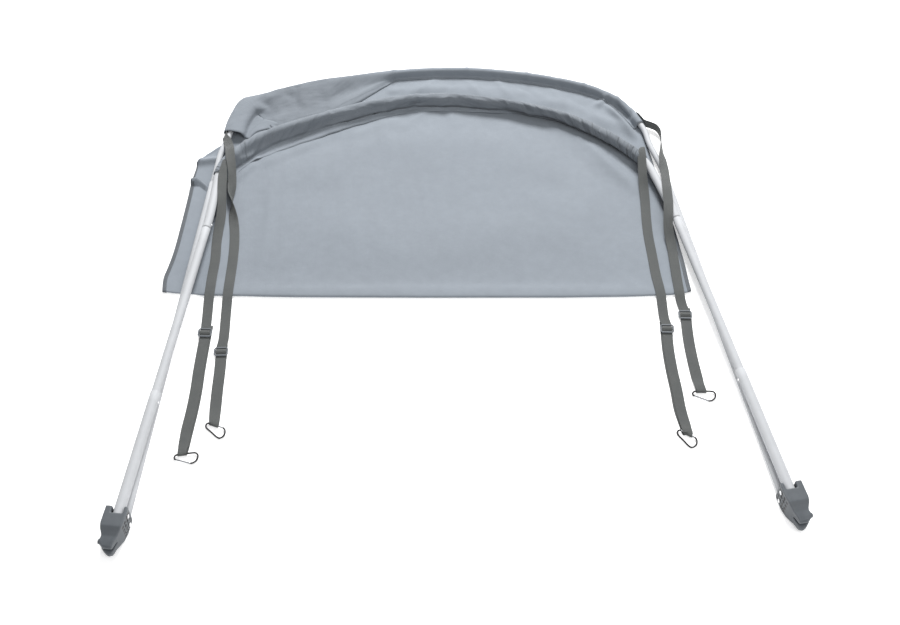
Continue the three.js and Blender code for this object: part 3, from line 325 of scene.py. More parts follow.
# Materials
class Recipe:
    """Builds a node material, one call for each node."""

    def __init__(self, name, **shader):
        self.material = bpy.data.materials.new(name)
        self.material.use_nodes = True
        self.tree = self.material.node_tree
        self.shader = self.tree.nodes["Principled BSDF"]
        for socket, value in shader.items():
            self.shader.inputs[socket.replace("_", " ")].default_value = value

    def node(self, kind, sockets=None, **settings):
        made = self.tree.nodes.new("ShaderNode" + kind)
        for key, value in settings.items():
            setattr(made, key, value)
        for key, value in (sockets or {}).items():
            if isinstance(value, bpy.types.NodeSocket):
                self.tree.links.new(value, made.inputs[key])
            else:
                made.inputs[key].default_value = value
        return made

    def done(self, colour, rough=None, normal=None):
        for socket, value in (("Base Color", colour), ("Roughness", rough), ("Normal", normal)):
            if value:
                self.tree.links.new(value, self.shader.inputs[socket])
        return self.material

    def place(self, uv=None):
        if uv:
            return self.node("UVMap", uv_map=uv).outputs[0]
        return self.node("TexCoord").outputs["Object"]

    def scaled(self, place, scale, turn=0.0):
        return self.node("Mapping", {"Vector": place, "Scale": scale, "Rotation": (0, 0, turn)}).outputs[0]

    def noise(self, place, scale, detail=3.0, rough=0.5):
        sockets = {"Vector": place, "Scale": scale, "Detail": detail, "Roughness": rough}
        return self.node("TexNoise", sockets).outputs["Fac"]

    def wave(self, place, scale, direction, warp=0.0):
        sockets = {"Vector": place, "Scale": scale, "Distortion": warp, "Detail": 1.0}
        return self.node("TexWave", sockets, bands_direction=direction).outputs["Fac"]

    def maths(self, operation, a, b=0.0):
        return self.node("Math", {0: a, 1: b}, operation=operation).outputs[0]

    def dot(self, a, b):
        sockets = {0: a, 1: tuple(float(v) for v in b)}
        return self.node("VectorMath", sockets, operation="DOT_PRODUCT").outputs["Value"]

    def within(self, value, middle, reach):
        return self.node("Math", {0: value, 1: middle, 2: reach}, operation="COMPARE").outputs[0]

    def between(self, value, low, high, to_low, to_high):
        sockets = {"Value": value, "From Min": low, "From Max": high, "To Min": to_low, "To Max": to_high}
        return self.node("MapRange", sockets).outputs[0]

    def colours(self, value, low, high):
        ramp = self.node("ValToRGB", {"Fac": value})
        for stop, colour, position in zip(ramp.color_ramp.elements, (low, high), (0.25, 0.75)):
            stop.color = colour
            stop.position = position
        return ramp.outputs[0]

    def shade(self, colour, factor):
        sockets = {0: 1.0, 6: colour, 7: factor}
        return self.node("Mix", sockets, data_type="RGBA", blend_type="MULTIPLY").outputs[2]

    def bump(self, height, distance, strength=1.0, below=None):
        sockets = {"Height": height, "Distance": distance, "Strength": strength}
        if below is not None:
            sockets["Normal"] = below
        return self.node("Bump", sockets).outputs[0]


def linear(*shown):
    """A shader's colour from red, green and blue as they show, 0 to 255."""
    shares = [c / 255 for c in shown]
    return (*(c / 12.92 if c <= 0.04045 else ((c + 0.055) / 1.055) ** 2.4 for c in shares), 1)


# Bumps of the canvas, in metres: long soft streaks, the pockets' rucks, unevenness, fine grain, weave.
STREAK_DEEP = 0.007
RUCK_DEEP = 0.03
UNEVEN_DEEP = 0.0035
GRAIN_DEEP = 0.0006
WEAVE_DEEP = 0.00012
THREADS = 330
# Painted shade: the share of the canvas colour left where a pole pocket's painted shade is full.
POCKET_SHADE_TONE = 0.7


def canvas_material():
    m = Recipe("canvas_weave", Roughness=0.82, Sheen_Weight=0.12, Sheen_Roughness=0.5)
    uv, spot = m.place("cloth"), m.place()
    weave = m.maths("MULTIPLY", *(m.wave(uv, THREADS, axis, 0.4) for axis in "XY"))
    cloudy = m.noise(spot, 3.2, 4.0, 0.55)
    thread = m.noise(m.scaled(uv, (1, 14, 1)), 60, 2.0)
    base = m.colours(cloudy, linear(125, 132, 140), linear(131, 138, 146))
    dust = m.between(m.maths("MULTIPLY", thread, m.noise(spot, 40, 3.0)), 0.1, 0.45, 0.93, 1.03)
    pocket = m.node("SeparateXYZ", {"Vector": m.place("pocket")}).outputs
    painted_shade, gathered = pocket["X"], pocket["Y"]
    # Painted shade on the pole pockets, by the first channel of the "pocket" layer.
    base = m.shade(base, m.between(painted_shade, 0, 1, 1, POCKET_SHADE_TONE))
    base = m.shade(m.shade(base, dust), m.between(weave, 0, 1, 0.94, 1.04))
    streaks = m.bump(m.noise(m.scaled(uv, (11, 2.4, 1), 0.12), 1.0, 3.0, 0.45), STREAK_DEEP, 0.55)
    rucks = m.maths("MULTIPLY", m.noise(m.scaled(uv, (9, 26, 1), 0.5), 1.0, 2.5, 0.45), gathered)
    rucked = m.bump(rucks, RUCK_DEEP, 0.9, streaks)
    soft = m.bump(m.noise(spot, 9.0, 4.0, 0.6), UNEVEN_DEEP, 0.55, rucked)
    fine = m.bump(m.noise(spot, 55.0, 3.0, 0.5), GRAIN_DEEP, 0.35, soft)
    return m.done(base, m.between(cloudy, 0.2, 0.8, 0.76, 0.9), m.bump(weave, WEAVE_DEEP, 0.6, fine))


def tape_material(name, colour, other):
    m = Recipe(name, Roughness=0.85, Sheen_Weight=0.15, Sheen_Roughness=0.4)
    uv, spot = m.place("cloth"), m.place()
    rib = m.wave(uv, 210, "Y", 0.3)
    edge = m.wave(uv, 160, "X", 0.2)
    tone = m.noise(spot, 14, 4.0, 0.6)
    base = m.shade(m.colours(tone, colour, other), m.between(rib, 0, 1, 0.82, 1.05))
    ribbed = m.bump(rib, 0.00035, 0.8, m.bump(edge, 0.0002, 0.5))
    return m.done(base, m.between(tone, 0.2, 0.8, 0.78, 0.92), ribbed)


def metal_material():
    m = Recipe("tube_satin", Metallic=0.1, Roughness=0.75, Specular_IOR_Level=0.3)
    spot = m.place()
    drawn = m.noise(m.scaled(spot, (900, 12, 900)), 1.0, 3.0)
    worn = m.noise(spot, 26, 5.0, 0.65)
    base = m.colours(worn, linear(177, 179, 182), linear(185, 187, 190))
    base = m.shade(base, m.between(drawn, 0.3, 0.7, 0.96, 1.02))
    rough = m.between(m.maths("MULTIPLY", drawn, worn), 0.1, 0.45, 0.68, 0.8)
    return m.done(base, rough, m.bump(drawn, 0.00004, 0.5))


# Painted shade in the pockets of the foot's inner face: their first edge, pitch and field, along the leg and
# upwards.
POCKETS = table("first pitch middle reach", [(-25, 11.4, -1.5, 23.5), (5, 11.6, 27, 22.5)])
POCKET_MIDDLE, POCKET_REACH = 0.37, 0.31  # shares of the pitch
FOOT_POCKET_SHADE = 0.1


def plastic_material(name, pocketed=None):
    """Grained plastic. pocketed is a moulded face whose pockets get painted shade, by its (origin, along,
    inward).
    """
    m = Recipe(name, Roughness=0.5)
    spot = m.place()
    grain = m.noise(spot, 900, 2.0)
    flow = m.noise(spot, 35, 4.0, 0.6)
    geometry = m.node("NewGeometry")
    base = m.colours(flow, linear(76, 81, 86), linear(87, 92, 97))
    # By pointiness: darker in hollows, lighter on sharp edges; painted shade in the hollows, wear on the
    # edges.
    base = m.shade(base, m.between(geometry.outputs["Pointiness"], 0.47, 0.56, 0.8, 1.2))
    if pocketed:
        origin, along, inward = pocketed
        places = (m.maths("SUBTRACT", m.dot(spot, along), float(origin @ along)),
                  m.node("SeparateXYZ", {"Vector": spot}).outputs["Z"])
        pocket_shade = m.between(m.dot(geometry.outputs["Normal"], inward), 0.6, 0.85, 0, 1)
        for place, row in zip(places, POCKETS):
            first, pitch, middle, reach = (v / 1000 for v in row.values())
            cell = m.maths("FRACT", m.maths("DIVIDE", m.maths("SUBTRACT", place, first), pitch))
            in_cell = m.within(cell, POCKET_MIDDLE, POCKET_REACH)
            pocket_shade = m.maths("MULTIPLY", pocket_shade, m.maths("MULTIPLY", m.within(place, middle, reach), in_cell))
        # Painted shade: the inner face's pockets, facing inward, brought down to a tenth of the colour.
        base = m.shade(base, m.between(pocket_shade, 0, 1, 1, FOOT_POCKET_SHADE))
    return m.done(base, m.between(flow, 0.2, 0.8, 0.44, 0.62), m.bump(grain, 0.00015, 0.5))


def wire_material(name, low, high, metallic, rough):
    m = Recipe(name, Metallic=metallic, Roughness=rough)
    spot = m.place()
    worn = m.noise(spot, 180, 4.0, 0.6)
    rough = m.between(worn, 0.3, 0.7, rough * 0.8, rough * 1.3)
    return m.done(m.colours(worn, low, high), rough, m.bump(m.noise(spot, 500, 2.0), 0.00008, 0.4))


CANVAS = canvas_material()
TAPE_LOOK = tape_material("binding_tape", linear(84, 89, 94), linear(100, 104, 109))
WEB_LOOK = tape_material("webbing_ribbed", linear(76, 79, 79), linear(88, 90, 89))
THREAD = tape_material("thread", linear(120, 126, 132), linear(140, 146, 152))
METAL = metal_material()
PLASTIC = plastic_material("grained_plastic")
BLACK = wire_material("black_wire", linear(12, 12, 13), linear(24, 24, 26), 0.1, 0.45)
BRIGHT = wire_material("bright_wire", linear(128, 130, 134), linear(158, 160, 164), 0.7, 0.3)
CAP = wire_material("pale_cap", linear(218, 219, 221), linear(238, 239, 240), 0.3, 0.35)


# Legs
def leg_x(name, y):
    leg = LEGS[name]
    return leg["side"] * (leg["x0"] - leg["slope"] * y)


def leg_z(name, y):
    return LEGS[name]["z0"] - LEGS[name]["fall"] * y


def leg_point(name, y):
    return np.array((leg_x(name, y), y, leg_z(name, y)))


def leg_frame(name):
    along = unit(leg_point(name, 1) - leg_point(name, 0))
    inward = unit(np.array((along[1], -along[0], 0)) * -LEGS[name]["side"])
    return along, inward


def on_leg(name, *places):
    return [(leg_x(name, y), y) for y in places]


LINE_A = Line(on_leg("a_left", 980, 1006, 1040) + ARCH_A + on_leg("a_right", 1036, 1016, 988, 963),
              "a_left", [(-578, 1213), (569, 1203)])
LINE_B = Line(on_leg("b_left", 845.2, 866) + ARCH_B + on_leg("b_right", 850, 829.5),
              "b_left", [(-594.5, 1040), (552, 1050)])
TUBE_SIDES = 56
TUBE_RINGS = 12
TUBE_RIM = 0.45
ARCH_SIDES = 40
ARCH_STEPS = 330

for tube in TUBES:
    start = leg_point(tube["leg"], tube["from"])
    along, _ = leg_frame(tube["leg"])
    length = np.linalg.norm(leg_point(tube["leg"], tube["to"]) - start)
    outer, bore = tube["outer"], tube["bore"]
    rim = min(TUBE_RIM, (outer - bore) / 2)
    profile = [(bore, rim), (bore + rim, 0), (outer - rim, 0), (outer, rim)]
    profile += [(outer, length * i / TUBE_RINGS) for i in range(1, TUBE_RINGS)]
    profile += [(outer, length - rim), (outer - rim, length), (bore + rim, length), (bore, length - rim)]
    points, _ = lathe_parts(profile, start, along, TUBE_SIDES)
    faces = ring_faces(len(profile), TUBE_SIDES, looped=True)
    add_mesh(tube["name"] + "_drawn", points, faces, METAL, "bow_tube", stands_for=tube["name"])

for name, line, radius in (("bow_a_arch", LINE_A, A_RADIUS), ("bow_b_arch", LINE_B, B_RADIUS)):
    points = tube_points(line.at(np.linspace(0, 1, ARCH_STEPS)), [radius] * ARCH_STEPS, ARCH_SIDES)
    faces = ring_faces(ARCH_STEPS, ARCH_SIDES)
    add_mesh(name + "_bent", points, faces, METAL, "bow_tube", stands_for=name)

# A domed head by shares of its radius and height.
DOME = [(1, 0.0), (1, 0.45), (0.93, 0.66), (0.78, 0.84), (0.52, 0.96), (0.22, 1.0)]


def domed(name, suffix, slot, sides, start, direction, shank, radius, base, height):
    """A turned shank with a domed head, in place of one solid."""
    profile = shank + [(radius * r, base + height * h) for r, h in DOME]
    parts = lathe_parts(profile, start, direction, sides)
    add_mesh(name + suffix, *parts, CAP, slot, stands_for=name)


BUTTON_RADIUS = 2.8
BUTTON_HEIGHT = 2.7
BUTTON_SIDES = 24
for button in BUTTONS:
    _, inward = leg_frame(button["leg"])
    wall = button["radius"]
    shank = [(BUTTON_RADIUS - 0.6, wall - 4), (BUTTON_RADIUS, wall - 3.6)]
    domed(button["name"], "_dome", "button", BUTTON_SIDES, leg_point(button["leg"], button["y"]), inward,
          shank, BUTTON_RADIUS, wall - 0.4, BUTTON_HEIGHT)

PIN_RADIUS = 3
PIN_HEAD_HEIGHT = 1.7
PIN_SIDES = 28
MERGE = 0.00001  # metres
for side_name in ("left", "right"):
    leg = "b_" + side_name
    _, inward = leg_frame(leg)
    origin = leg_point(leg, 0) * (1, 1, 0)
    along = np.array((-inward[1], inward[0], 0)) * -LEGS[leg]["side"]
    for pin in FOOT_PINS:
        start = origin + along * pin["l"] + inward * pin["from"] + np.array((0, 0, pin["h"]))
        length = FOOT_FACE + 0.5 - pin["from"]
        shank = [(0.5, 0), (PIN_RADIUS - 0.3, 0), (PIN_RADIUS, 0.3), (PIN_RADIUS, length),
                 (pin["head"] - 0.4, length)]
        domed(f"foot_pin_{pin['bow']}_{side_name}", "_riveted", "rivet", PIN_SIDES, start, inward,
              shank, pin["head"], length + 0.3, PIN_HEAD_HEIGHT)
    foot = NODES["foot_" + side_name]
    dress(foot, plastic_material("foot_plastic_" + side_name, (metres(origin)[0], along, inward)))
    modify(foot, "WELD", merge_threshold=MERGE)
    modify(foot, "REMESH", mode="VOXEL", voxel_size=0.001, use_smooth_shade=True)
    modify(foot, "SMOOTH", factor=0.5, iterations=30)

# Where the straps run
SLIDER_BOTTOM = 4.8
SLIDER_THICK = 2.5
SLIDER_CLEAR = 1.25
RETURN_Z = 0.95
UPPER_Z = 3
WIRE = 2
WIRE_CLEAR = 0.5
HOOK_Z = 4.4
TAIL = 24
STRAP_STEP = 6
# Each row of a run: x, y, z, the roll about the run and, where it is gathered, the width.
STRAPS = table("name slider hook axis shift ends lower run", [
    ("strap_b_left", (-594.8, 526.6), (-619.8, 181), 5.7, 4, 20,
     [(-602.1, 417), (-604.5, 359), (-609.1, 303), (-616, 247)], [
        (-577.5, 1084, 42, -40, 7), (-578, 1079, 44, -36, 10), (-579, 1066, 45, -32, 15),
        (-580, 1048, 44, -28, 20), (-581, 1030, 41, -26, 24), (-581, 985, 34.5, -28), (-579, 948, 29, -38),
        (-580, 905, 18, -26), (-585, 862, 8, -8), (-587.5, 820, 4.6, 0), (-587, 762, 4.6, 0),
        (-590.5, 709, 5.2, 0), (-591.5, 672, 8.2, 0), (-592.5, 644, 8.2, 0), (-593.2, 618, 5, 0),
        (-593.5, 585, 3, 0), (-593.8, 556, 2.9, 0),
    ]),
    ("strap_a_left", (-551.5, 467.1), (-553, 257.7), -22.5, 2, 22,
     [(-551.7, 415), (-553.5, 357), (-554.2, 305)], [
        (-582, 1240, 14, 84, 13), (-588, 1216, 15, 76, 16), (-590.5, 1197, 19.5, 50, 21),
        (-582, 1174, 25, 24), (-574, 1148, 32, 14), (-569, 1126, 42.5, 12), (-566, 1101, 45, 0),
        (-561.5, 1072, 41.5, -22), (-558, 1040, 32, -38), (-558, 1008, 22, -30), (-559, 978, 17.5, -60),
        (-556, 950, 17, -95), (-552.5, 922, 14, -135), (-548.5, 895, 7.5, -168), (-544.5, 866, 4.8, -180),
        (-541.5, 820, 4.6, -180), (-541.5, 765, 4.6, -180), (-544, 706, 5.2, -180), (-545.5, 668, 8.2, -180),
        (-546.5, 640, 8.2, -180), (-547, 614, 5, -180), (-547.5, 580, 3, -180), (-548.2, 505, 2.9, -180),
    ]),
    ("strap_b_right", (540.4, 492.1), (543.9, 187.3), -34.6, -4, 22,
     [(536.3, 430), (535.9, 370), (537.9, 312), (538.6, 255)], [
        (555, 1086, 40.5, 20, 9), (553.5, 1080, 44.5, 22, 15), (551, 1067, 46.2, 24, 20),
        (549, 1050, 44, 28, 24), (547.5, 1030, 38.5, 32), (545.5, 995, 28.5, 30), (545.5, 960, 15, 14),
        (544.5, 925, 8.5, 3), (542, 890, 6.2, 0), (538.5, 845, 5.4, 0), (536.5, 795, 4.6, 0),
        (537, 735, 4.6, 0), (537.5, 665, 5.2, 0), (539, 625, 8.2, 0), (540, 596, 8.2, 0), (539.5, 570, 5, 0),
        (538.5, 540, 3, 0), (538.8, 522, 2.9, 0),
    ]),
    ("strap_a_right", (591.5, 533.6), (594.1, 304.35), -2.3, 3, 24,
     [(587.3, 458), (587.4, 398), (590, 340)], [
        (564, 1248, 13, -90, 11), (567.5, 1240, 14, -90, 16), (573.6, 1222.2, 15, -90, 22),
        (580.2, 1207.2, 15, -90), (594, 1199, 15, -90), (610, 1188, 15, -90), (618.5, 1168, 15, -90),
        (618, 1134, 16, -84), (613, 1092, 20, -62), (608.5, 1052, 27, -28), (606, 1008, 31, -8),
        (603, 970, 38, -12), (599.5, 930, 44, -6), (597, 895, 45, 0), (593.5, 862, 44.4, 8),
        (589, 832, 38.5, 26), (587, 800, 26, 24), (589, 772, 15.5, 12), (590.5, 742, 10.2, 0),
        (590, 712, 8.8, 0), (589, 678, 8.4, 0), (588, 640, 8.6, 0), (587.5, 602, 8.8, 0), (588, 580, 4.6, 0),
        (590, 562, 2.9, 0),
    ]),
])


def strap_stations(strap):
    """Rows of the strap's middle: place, roll and width, and at the hook a side direction and its share."""
    slider, hook = np.array(strap["slider"]), np.array(strap["hook"])
    first, last = np.array(strap["lower"][0]), np.array(strap["lower"][-1])
    pull = unit(first - slider)
    flip = 180 if abs(strap["run"][-1][3]) > 90 else 0
    rows = [{"at": r[:3], "roll": r[3], "width": (*r, WEB_WIDTH)[4]} for r in strap["run"]]
    top = SLIDER_BOTTOM + SLIDER_THICK + SLIDER_CLEAR
    for step, z in ((-14, UPPER_Z), (-9.4, UPPER_Z), (-2.6, top), (2.6, top), (9.4, UPPER_Z), (14, UPPER_Z)):
        rows.append({"at": (*(slider + pull * step), z)})
    rows += [{"at": (x, y, UPPER_Z)} for x, y in strap["lower"]]
    axis = radians(strap["axis"])
    side = np.array((cos(axis), sin(axis)))
    away = np.array((side[1], -side[0]))
    towards = unit(last - hook)

    def gathered(spot, z, share):
        return {"at": (*spot, z), "side": side, "share": share, "width": mix(WEB_WIDTH, strap["ends"], share)}

    spread = ((22, 0.35, 6), (10, 0.9, 7.6))
    rows += [gathered(hook + towards * step, z, share) for step, share, z in spread]
    wrap = WIRE + WIRE_CLEAR + WEB / 2
    for turn in np.radians((90, 50, 10, -30, -60, -90)):
        z = max(RETURN_Z, HOOK_Z + wrap * sin(turn))
        rows.append(gathered(hook + away * wrap * cos(turn), z, 1))
    for step, share, _ in spread[::-1]:
        rows.append(gathered(hook + towards * step + (strap["shift"] * 0.5, 0), RETURN_Z, share))
    for x, y in [*strap["lower"][::-1], slider, slider - pull * TAIL]:
        rows.append({"at": (x + strap["shift"], y, RETURN_Z)})
    return [{"roll": flip, "width": WEB_WIDTH, **row} for row in rows]


def turned_about(v, axis, degrees):
    a = radians(degrees)
    return v * cos(a) + np.cross(axis, v) * sin(a) + axis * (axis @ v) * (1 - cos(a))


def strap_frames(rows):
    """The middle line, the width's direction and the width, at close steps."""
    at = np.array([row["at"] for row in rows], float)
    sides = []
    for i, row in enumerate(rows):
        run = unit(unit(at[i] - at[max(0, i - 1)]) + unit(at[min(len(at) - 1, i + 1)] - at[i]))
        side = unit(np.array((run[1], -run[0], 0)))
        if side[0] > 0:
            side = -side
        if "side" in row:
            side = unit(mix(side, -np.array((*row["side"], 0)), row["share"]))
        sides.append(-side if abs(row["roll"]) == 180 else turned_about(side, run, row["roll"]))
    steps = [max(2, int(round(gap / STRAP_STEP))) for gap in np.linalg.norm(np.diff(at, axis=0), axis=1)]
    line = refined(at, steps)
    fine = [i + j / n for i, n in enumerate(steps) for j in range(n)] + [len(steps)]
    base = np.arange(len(rows))
    side = read_rows(fine, base, sides)
    run = unit(np.gradient(line, axis=0))
    side = unit(side - run * (side * run).sum(1, keepdims=True))
    return line, side, run, np.interp(fine, base, [row["width"] for row in rows])


# Canvas
FOLD = [
    (-711, 664), (-693, 661), (-617, 653), (-366, 638), (-39, 623), (287, 610), (489, 605), (603, 606),
    (618, 612),
]
LOW_LEFT = [(-711, 664), (-713, 700), (-698, 769), (-682, 900), (-669, 1057), (-660, 1110)]
UP_LEFT = [
    (-711, 664), (-713, 700), (-698, 769), (-692, 809), (-682, 903), (-675, 975), (-670, 1039),
]
LOW_RIGHT_BOW = [(612, -1), (645, 1.5), (728, 6), (900, 6), (1190, 0)]
UP_RIGHT_BOW = [(612, 0), (645, 2), (728, 9), (900, 7), (1050, 0)]
LOW_FLAP = [(-660, 1110), (-653, 1121), (-640, 1143), (-614, 1168), (-593, 1189)]
UP_FLAP = [(-670, 1039), (-659, 1041), (-646, 1038), (-624, 1016), (-602, 1019)]
FLAP = len(LOW_FLAP)
LAST = FLAP + len(COLUMNS) - 1
LOW_RIDGES = table("x y length width turn height", [
    (-470, 1268, 150, 17, 35, 9), (-265, 1350, 130, 17, 18, 10), (-60, 1382, 130, 20, 4, 6),
    (150, 1362, 120, 20, -9, 7), (330, 1318, 90, 18, -28, 6), (470, 1235, 80, 18, -44, 9),
])
UP_RIDGES = table("x y length width turn height", [
    (-300, 1080, 160, 55, 20, 5), (-60, 1150, 190, 60, -5, 6), (230, 1090, 170, 55, -24, 5),
    (-250, 850, 190, 65, -12, 4), (120, 820, 220, 70, 10, 5), (370, 900, 110, 60, 60, 3.5),
])


def fold_roll(x):
    """Height of the roll at the fold: lower where the straps press on it."""
    return mix(5.2, 3.8, smooth(np.abs(x), 430, 515))


def ridge_height(rows, x, y):
    total = 0
    for row in rows:
        turn = radians(row["turn"])
        dx, dy = x - row["x"], y - row["y"]
        p = (dx * cos(turn) + dy * sin(turn)) / row["length"]
        q = (-dx * sin(turn) + dy * cos(turn)) / row["width"]
        total = total + row["height"] * np.exp(-(p * p + q * q))
    return total


ARCH_REACH = 577  # inside it an arch has one y for each x


def arch_y(rows, x):
    return table_at([r for r in rows if abs(r[0]) < ARCH_REACH], x)


def low_height(x, y):
    from_b = smooth(y - arch_y(ARCH_B, x), 26, 44)
    slack = mix(90, 0, smooth(x, -280, -60))
    from_a = smooth(arch_y(ARCH_A, x) - y, 30 + slack, 46 + slack)
    return LOW_Z + ridge_height(LOW_RIDGES, x, y) * from_b * from_a


def pressed(x, y):
    """0 where the rear bow's left leg presses the fold flat, 1 away from it."""
    return smooth(np.abs(x - leg_x("a_left", y)), 20, 46)


def up_height(x, y):
    from_fold = y - table_at(FOLD, x)
    bulge = fold_roll(x) * pressed(x, y) * (1 - smooth(from_fold, 8, 52))
    inside = 1 - smooth(np.abs(x), 400, 500)
    calm = smooth(arch_y(ARCH_B, x) - y, 55, 110) * smooth(from_fold, 40, 110)
    return UP_Z + bulge + (3 + ridge_height(UP_RIDGES, x, y)) * inside * calm


# The pole pockets. Tables are rows of (share of the pocket's length, value), and sections are rows of
# (mm inwards from the bow, mm up).
A_LOOP = 9.45
B_LOOP = 12.6
OVER = (180, 144, 108, 72, 36)
A_FLARE = [(0, 1), (0.06, 0), (0.94, 0), (0.97, 0.6), (1, 0.8)]
B_FLARE = [(0, 0.8), (0.03, 0.8), (0.06, 0), (0.94, 0), (0.97, 1), (1, 1.4)]
A_FLAT_END = [(0, 1), (0.1, 1), (0.15, 0)]
A_CORNER = [(0, 0), (0.06, 3), (0.095, 9), (0.13, 1), (0.2, 0)]
A_SLACK = [(0.1, 0), (0.15, 1), (0.27, 1), (0.42, 0)]
B_HEM = [
    (0, 38), (0.08, 39), (0.13, 50), (0.18, 56), (0.28, 49), (0.36, 44), (0.45, 35), (0.56, 31), (0.66, 27),
    (0.78, 22), (1, 22),
]
B_FOOT = [(0, 26), (0.12, 31), (0.25, 28), (0.4, 20), (0.5, 17), (1, 15)]
B_TUCK = [(0.6, 0), (0.75, 1), (1, 1)]
B_BACK = [(0, 14), (0.025, 3), (0.05, -7), (0.85, -7), (0.95, -12), (1, -18)]
B_TIGHT = [(0, 1), (0.025, 0.85), (0.05, 0.2), (0.075, 0), (1, 0)]


def round_tube(z, radius, angles):
    return [(radius * cos(a) + 0 * z, z + radius * sin(a)) for a in np.radians(angles)]


def wobble(share, seed):
    waves = ((7.3, 0.9), (17.1, 0.6), (31.7, 0.4))
    return sum(size * np.sin(2 * pi * turns * share + seed * turns) for turns, size in waves)


def section_a(layer_z, share):
    """The rear pocket: a loose flat end, a long slack slope, then tight round the tube."""
    z = leg_z("a_left", 0) + 0 * share
    hem = layer_z + CLOTH + GAP
    tables = (A_FLARE, A_FLAT_END, A_SLACK, A_CORNER)
    flare, flat_end, slack, corner = (table_at(rows, share) for rows in tables)
    slip = wobble(share, 1.3)
    far = mix(56, 144, smooth(share, 0, 0.08))
    back = [(-8.6 - flare, layer_z + 3.4), (-9.5 - flare, layer_z + 7.4)]
    over = round_tube(z, A_LOOP + flare, OVER)
    tight = [
        *back, *over, (10.4 + flare, z - 1), (12.4 + flare + 0.5 * slip, hem + 3.6 - flare),
        (15.5 + 0.8 * slip, hem + 0.7), (21 + slip, hem),
    ]
    flat = [
        (-12, layer_z + 3), (-15 - corner, layer_z + 7), (-17 - corner, z + 3),
        (-12 - 0.8 * corner, z + 9.6), (2, z + 12.8), (16, z + 12.2), (29, z + 9.6), (37, z + 3.6),
        (40.5, hem + 6), (44, hem + 1.6), (far, hem),
    ]
    slope = [
        *back, *over[:3], (6, z + 9.2), (20, z + 6.2), (42 + slip, hem + 11 + slip),
        (64 + slip, hem + 4.6 + slip), (94, hem + 1.4), (144, hem),
    ]
    return [
        tuple(t[i] + (f[i] - t[i]) * flat_end + (g[i] - t[i]) * slack for i in (0, 1))
        for t, f, g in zip(tight, flat, slope)
    ]


def section_b(layer_z, share):
    """The front pocket: a broad front slope and hem on the left, tucked under the tube on the right."""
    z = LINE_B.at(LINE_B.in_pocket(share))[..., 2]
    hem = layer_z + CLOTH + GAP
    tables = (B_HEM, B_FOOT, B_BACK, B_TIGHT, B_TUCK, B_FLARE)
    end, foot, back, tight, tuck, flare = (table_at(rows, share) for rows in tables)
    slip = wobble(share, 0.4)
    rear = np.minimum(back, -7)
    loose = [(rear - 3, layer_z + 2.2), (rear - 5, layer_z + 6.5), (np.minimum(rear, -9.5) - 3.4, z * 0.6)]
    snug = round_tube(z, B_LOOP + 0.4, (-66, -112, -158))
    start = [(mix(a[0], b[0], tight), mix(a[1], b[1], tight)) for a, b in zip(loose, snug)]
    front = [
        (mix(12.9, foot, 0.2), z - 5), (mix(12.9, foot, 0.6) + 0.5 * slip, hem + 8.5),
        (foot - 2 + slip, hem + 2.6), (end + slip, hem + 0.4),
    ]
    under = [(13.6, z - 3.4), (13.2, z - 8.5), (10.6, z - 12.8), (7, z - 15.2)]
    over = round_tube(z, B_LOOP + flare + 0.35 * np.abs(slip), OVER)
    return [*start, *over, *[(mix(f[0], u[0], tuck), mix(f[1], u[1], tuck)) for f, u in zip(front, under)]]


# Columns run from the left side edge to the right one: the flap first, then the sleeves.
FLAP_STEPS = 5
SLEEVE_STEPS = 250
columns = np.concatenate([
    np.linspace(0, FLAP, FLAP * FLAP_STEPS, endpoint=False),
    np.interp(np.linspace(0, 1, SLEEVE_STEPS + 1), COLUMNS, np.arange(FLAP, LAST + 1)),
])
shares = np.interp(columns, np.arange(FLAP, LAST + 1), COLUMNS)
SLEEVE = FLAP * FLAP_STEPS


def layer_end(line, flap, back):
    """The layer's last row in plan: the flap's free edge, then the edge along the pocket."""
    spots = line.beside(back)
    on_flap = columns < FLAP
    spots[on_flap] = read_rows(columns[on_flap], range(FLAP + 1), [*flap, spots[SLEEVE]])
    return spots


end_low = layer_end(LINE_A, LOW_FLAP, -4)
end_up = layer_end(LINE_B, UP_FLAP, table_at(B_BACK, shares))
# The share of the fold's length at each column near its two ends; between them the fold follows x.
BY_INDEX = [
    (0, 0), (1, 0.0085), (2, 0.024), (3, 0.042), (4, 0.06), (5, 0.078), (6, 0.098), (7, 0.116),
    (LAST - 4, 0.94), (LAST - 3, 0.957), (LAST - 2, 0.974), (LAST - 1, 0.9915), (LAST, 1),
]
by_x = (end_low[:, 0] - end_low[0, 0]) / (end_low[-1, 0] - end_low[0, 0])
middle = smooth(columns, 6, 10) * (1 - smooth(columns, LAST - 9, LAST - 4))
fold_points = along2d(FOLD, mix(table_at(BY_INDEX, columns), by_x, middle))


edge_share = 1 - smooth(np.minimum(columns, LAST - columns), 1, 3)


def layer_row(ends, left_edge, right_bow, height, edge_z, v):
    """One row of a layer, at the share v of the way from the fold to its last row."""
    spots = mix(fold_points, ends, v)
    spots = spots + (along2d(left_edge, v) - spots[0]) * (1 - smooth(columns, 1.2, 9))[:, None]
    x, y = spots.T
    x = x + table_at(right_bow, y) * smooth(columns, LAST - 8, LAST - 1)
    return np.stack([x, y, mix(height(x, y), edge_z, edge_share)], -1)


def fold_row(degrees):
    x, y = fold_points.T
    low = mix(LOW_Z, EDGE_LOW_Z, edge_share)
    high = mix(UP_Z + fold_roll(x) * pressed(x, y), EDGE_UP_Z, edge_share)
    turn, radius = radians(degrees), (high - low) / 2
    out = radius * cos(turn) * mix(2.2, 1, edge_share)
    return np.stack([x, y - out, (low + high) / 2 + radius * sin(turn)], -1)


def sleeve_rows(line, row, section):
    made = [np.column_stack([line.beside(n), z]) for n, z in section]
    for sleeve_row in made:
        sleeve_row[:SLEEVE] = row[:SLEEVE]
    return made


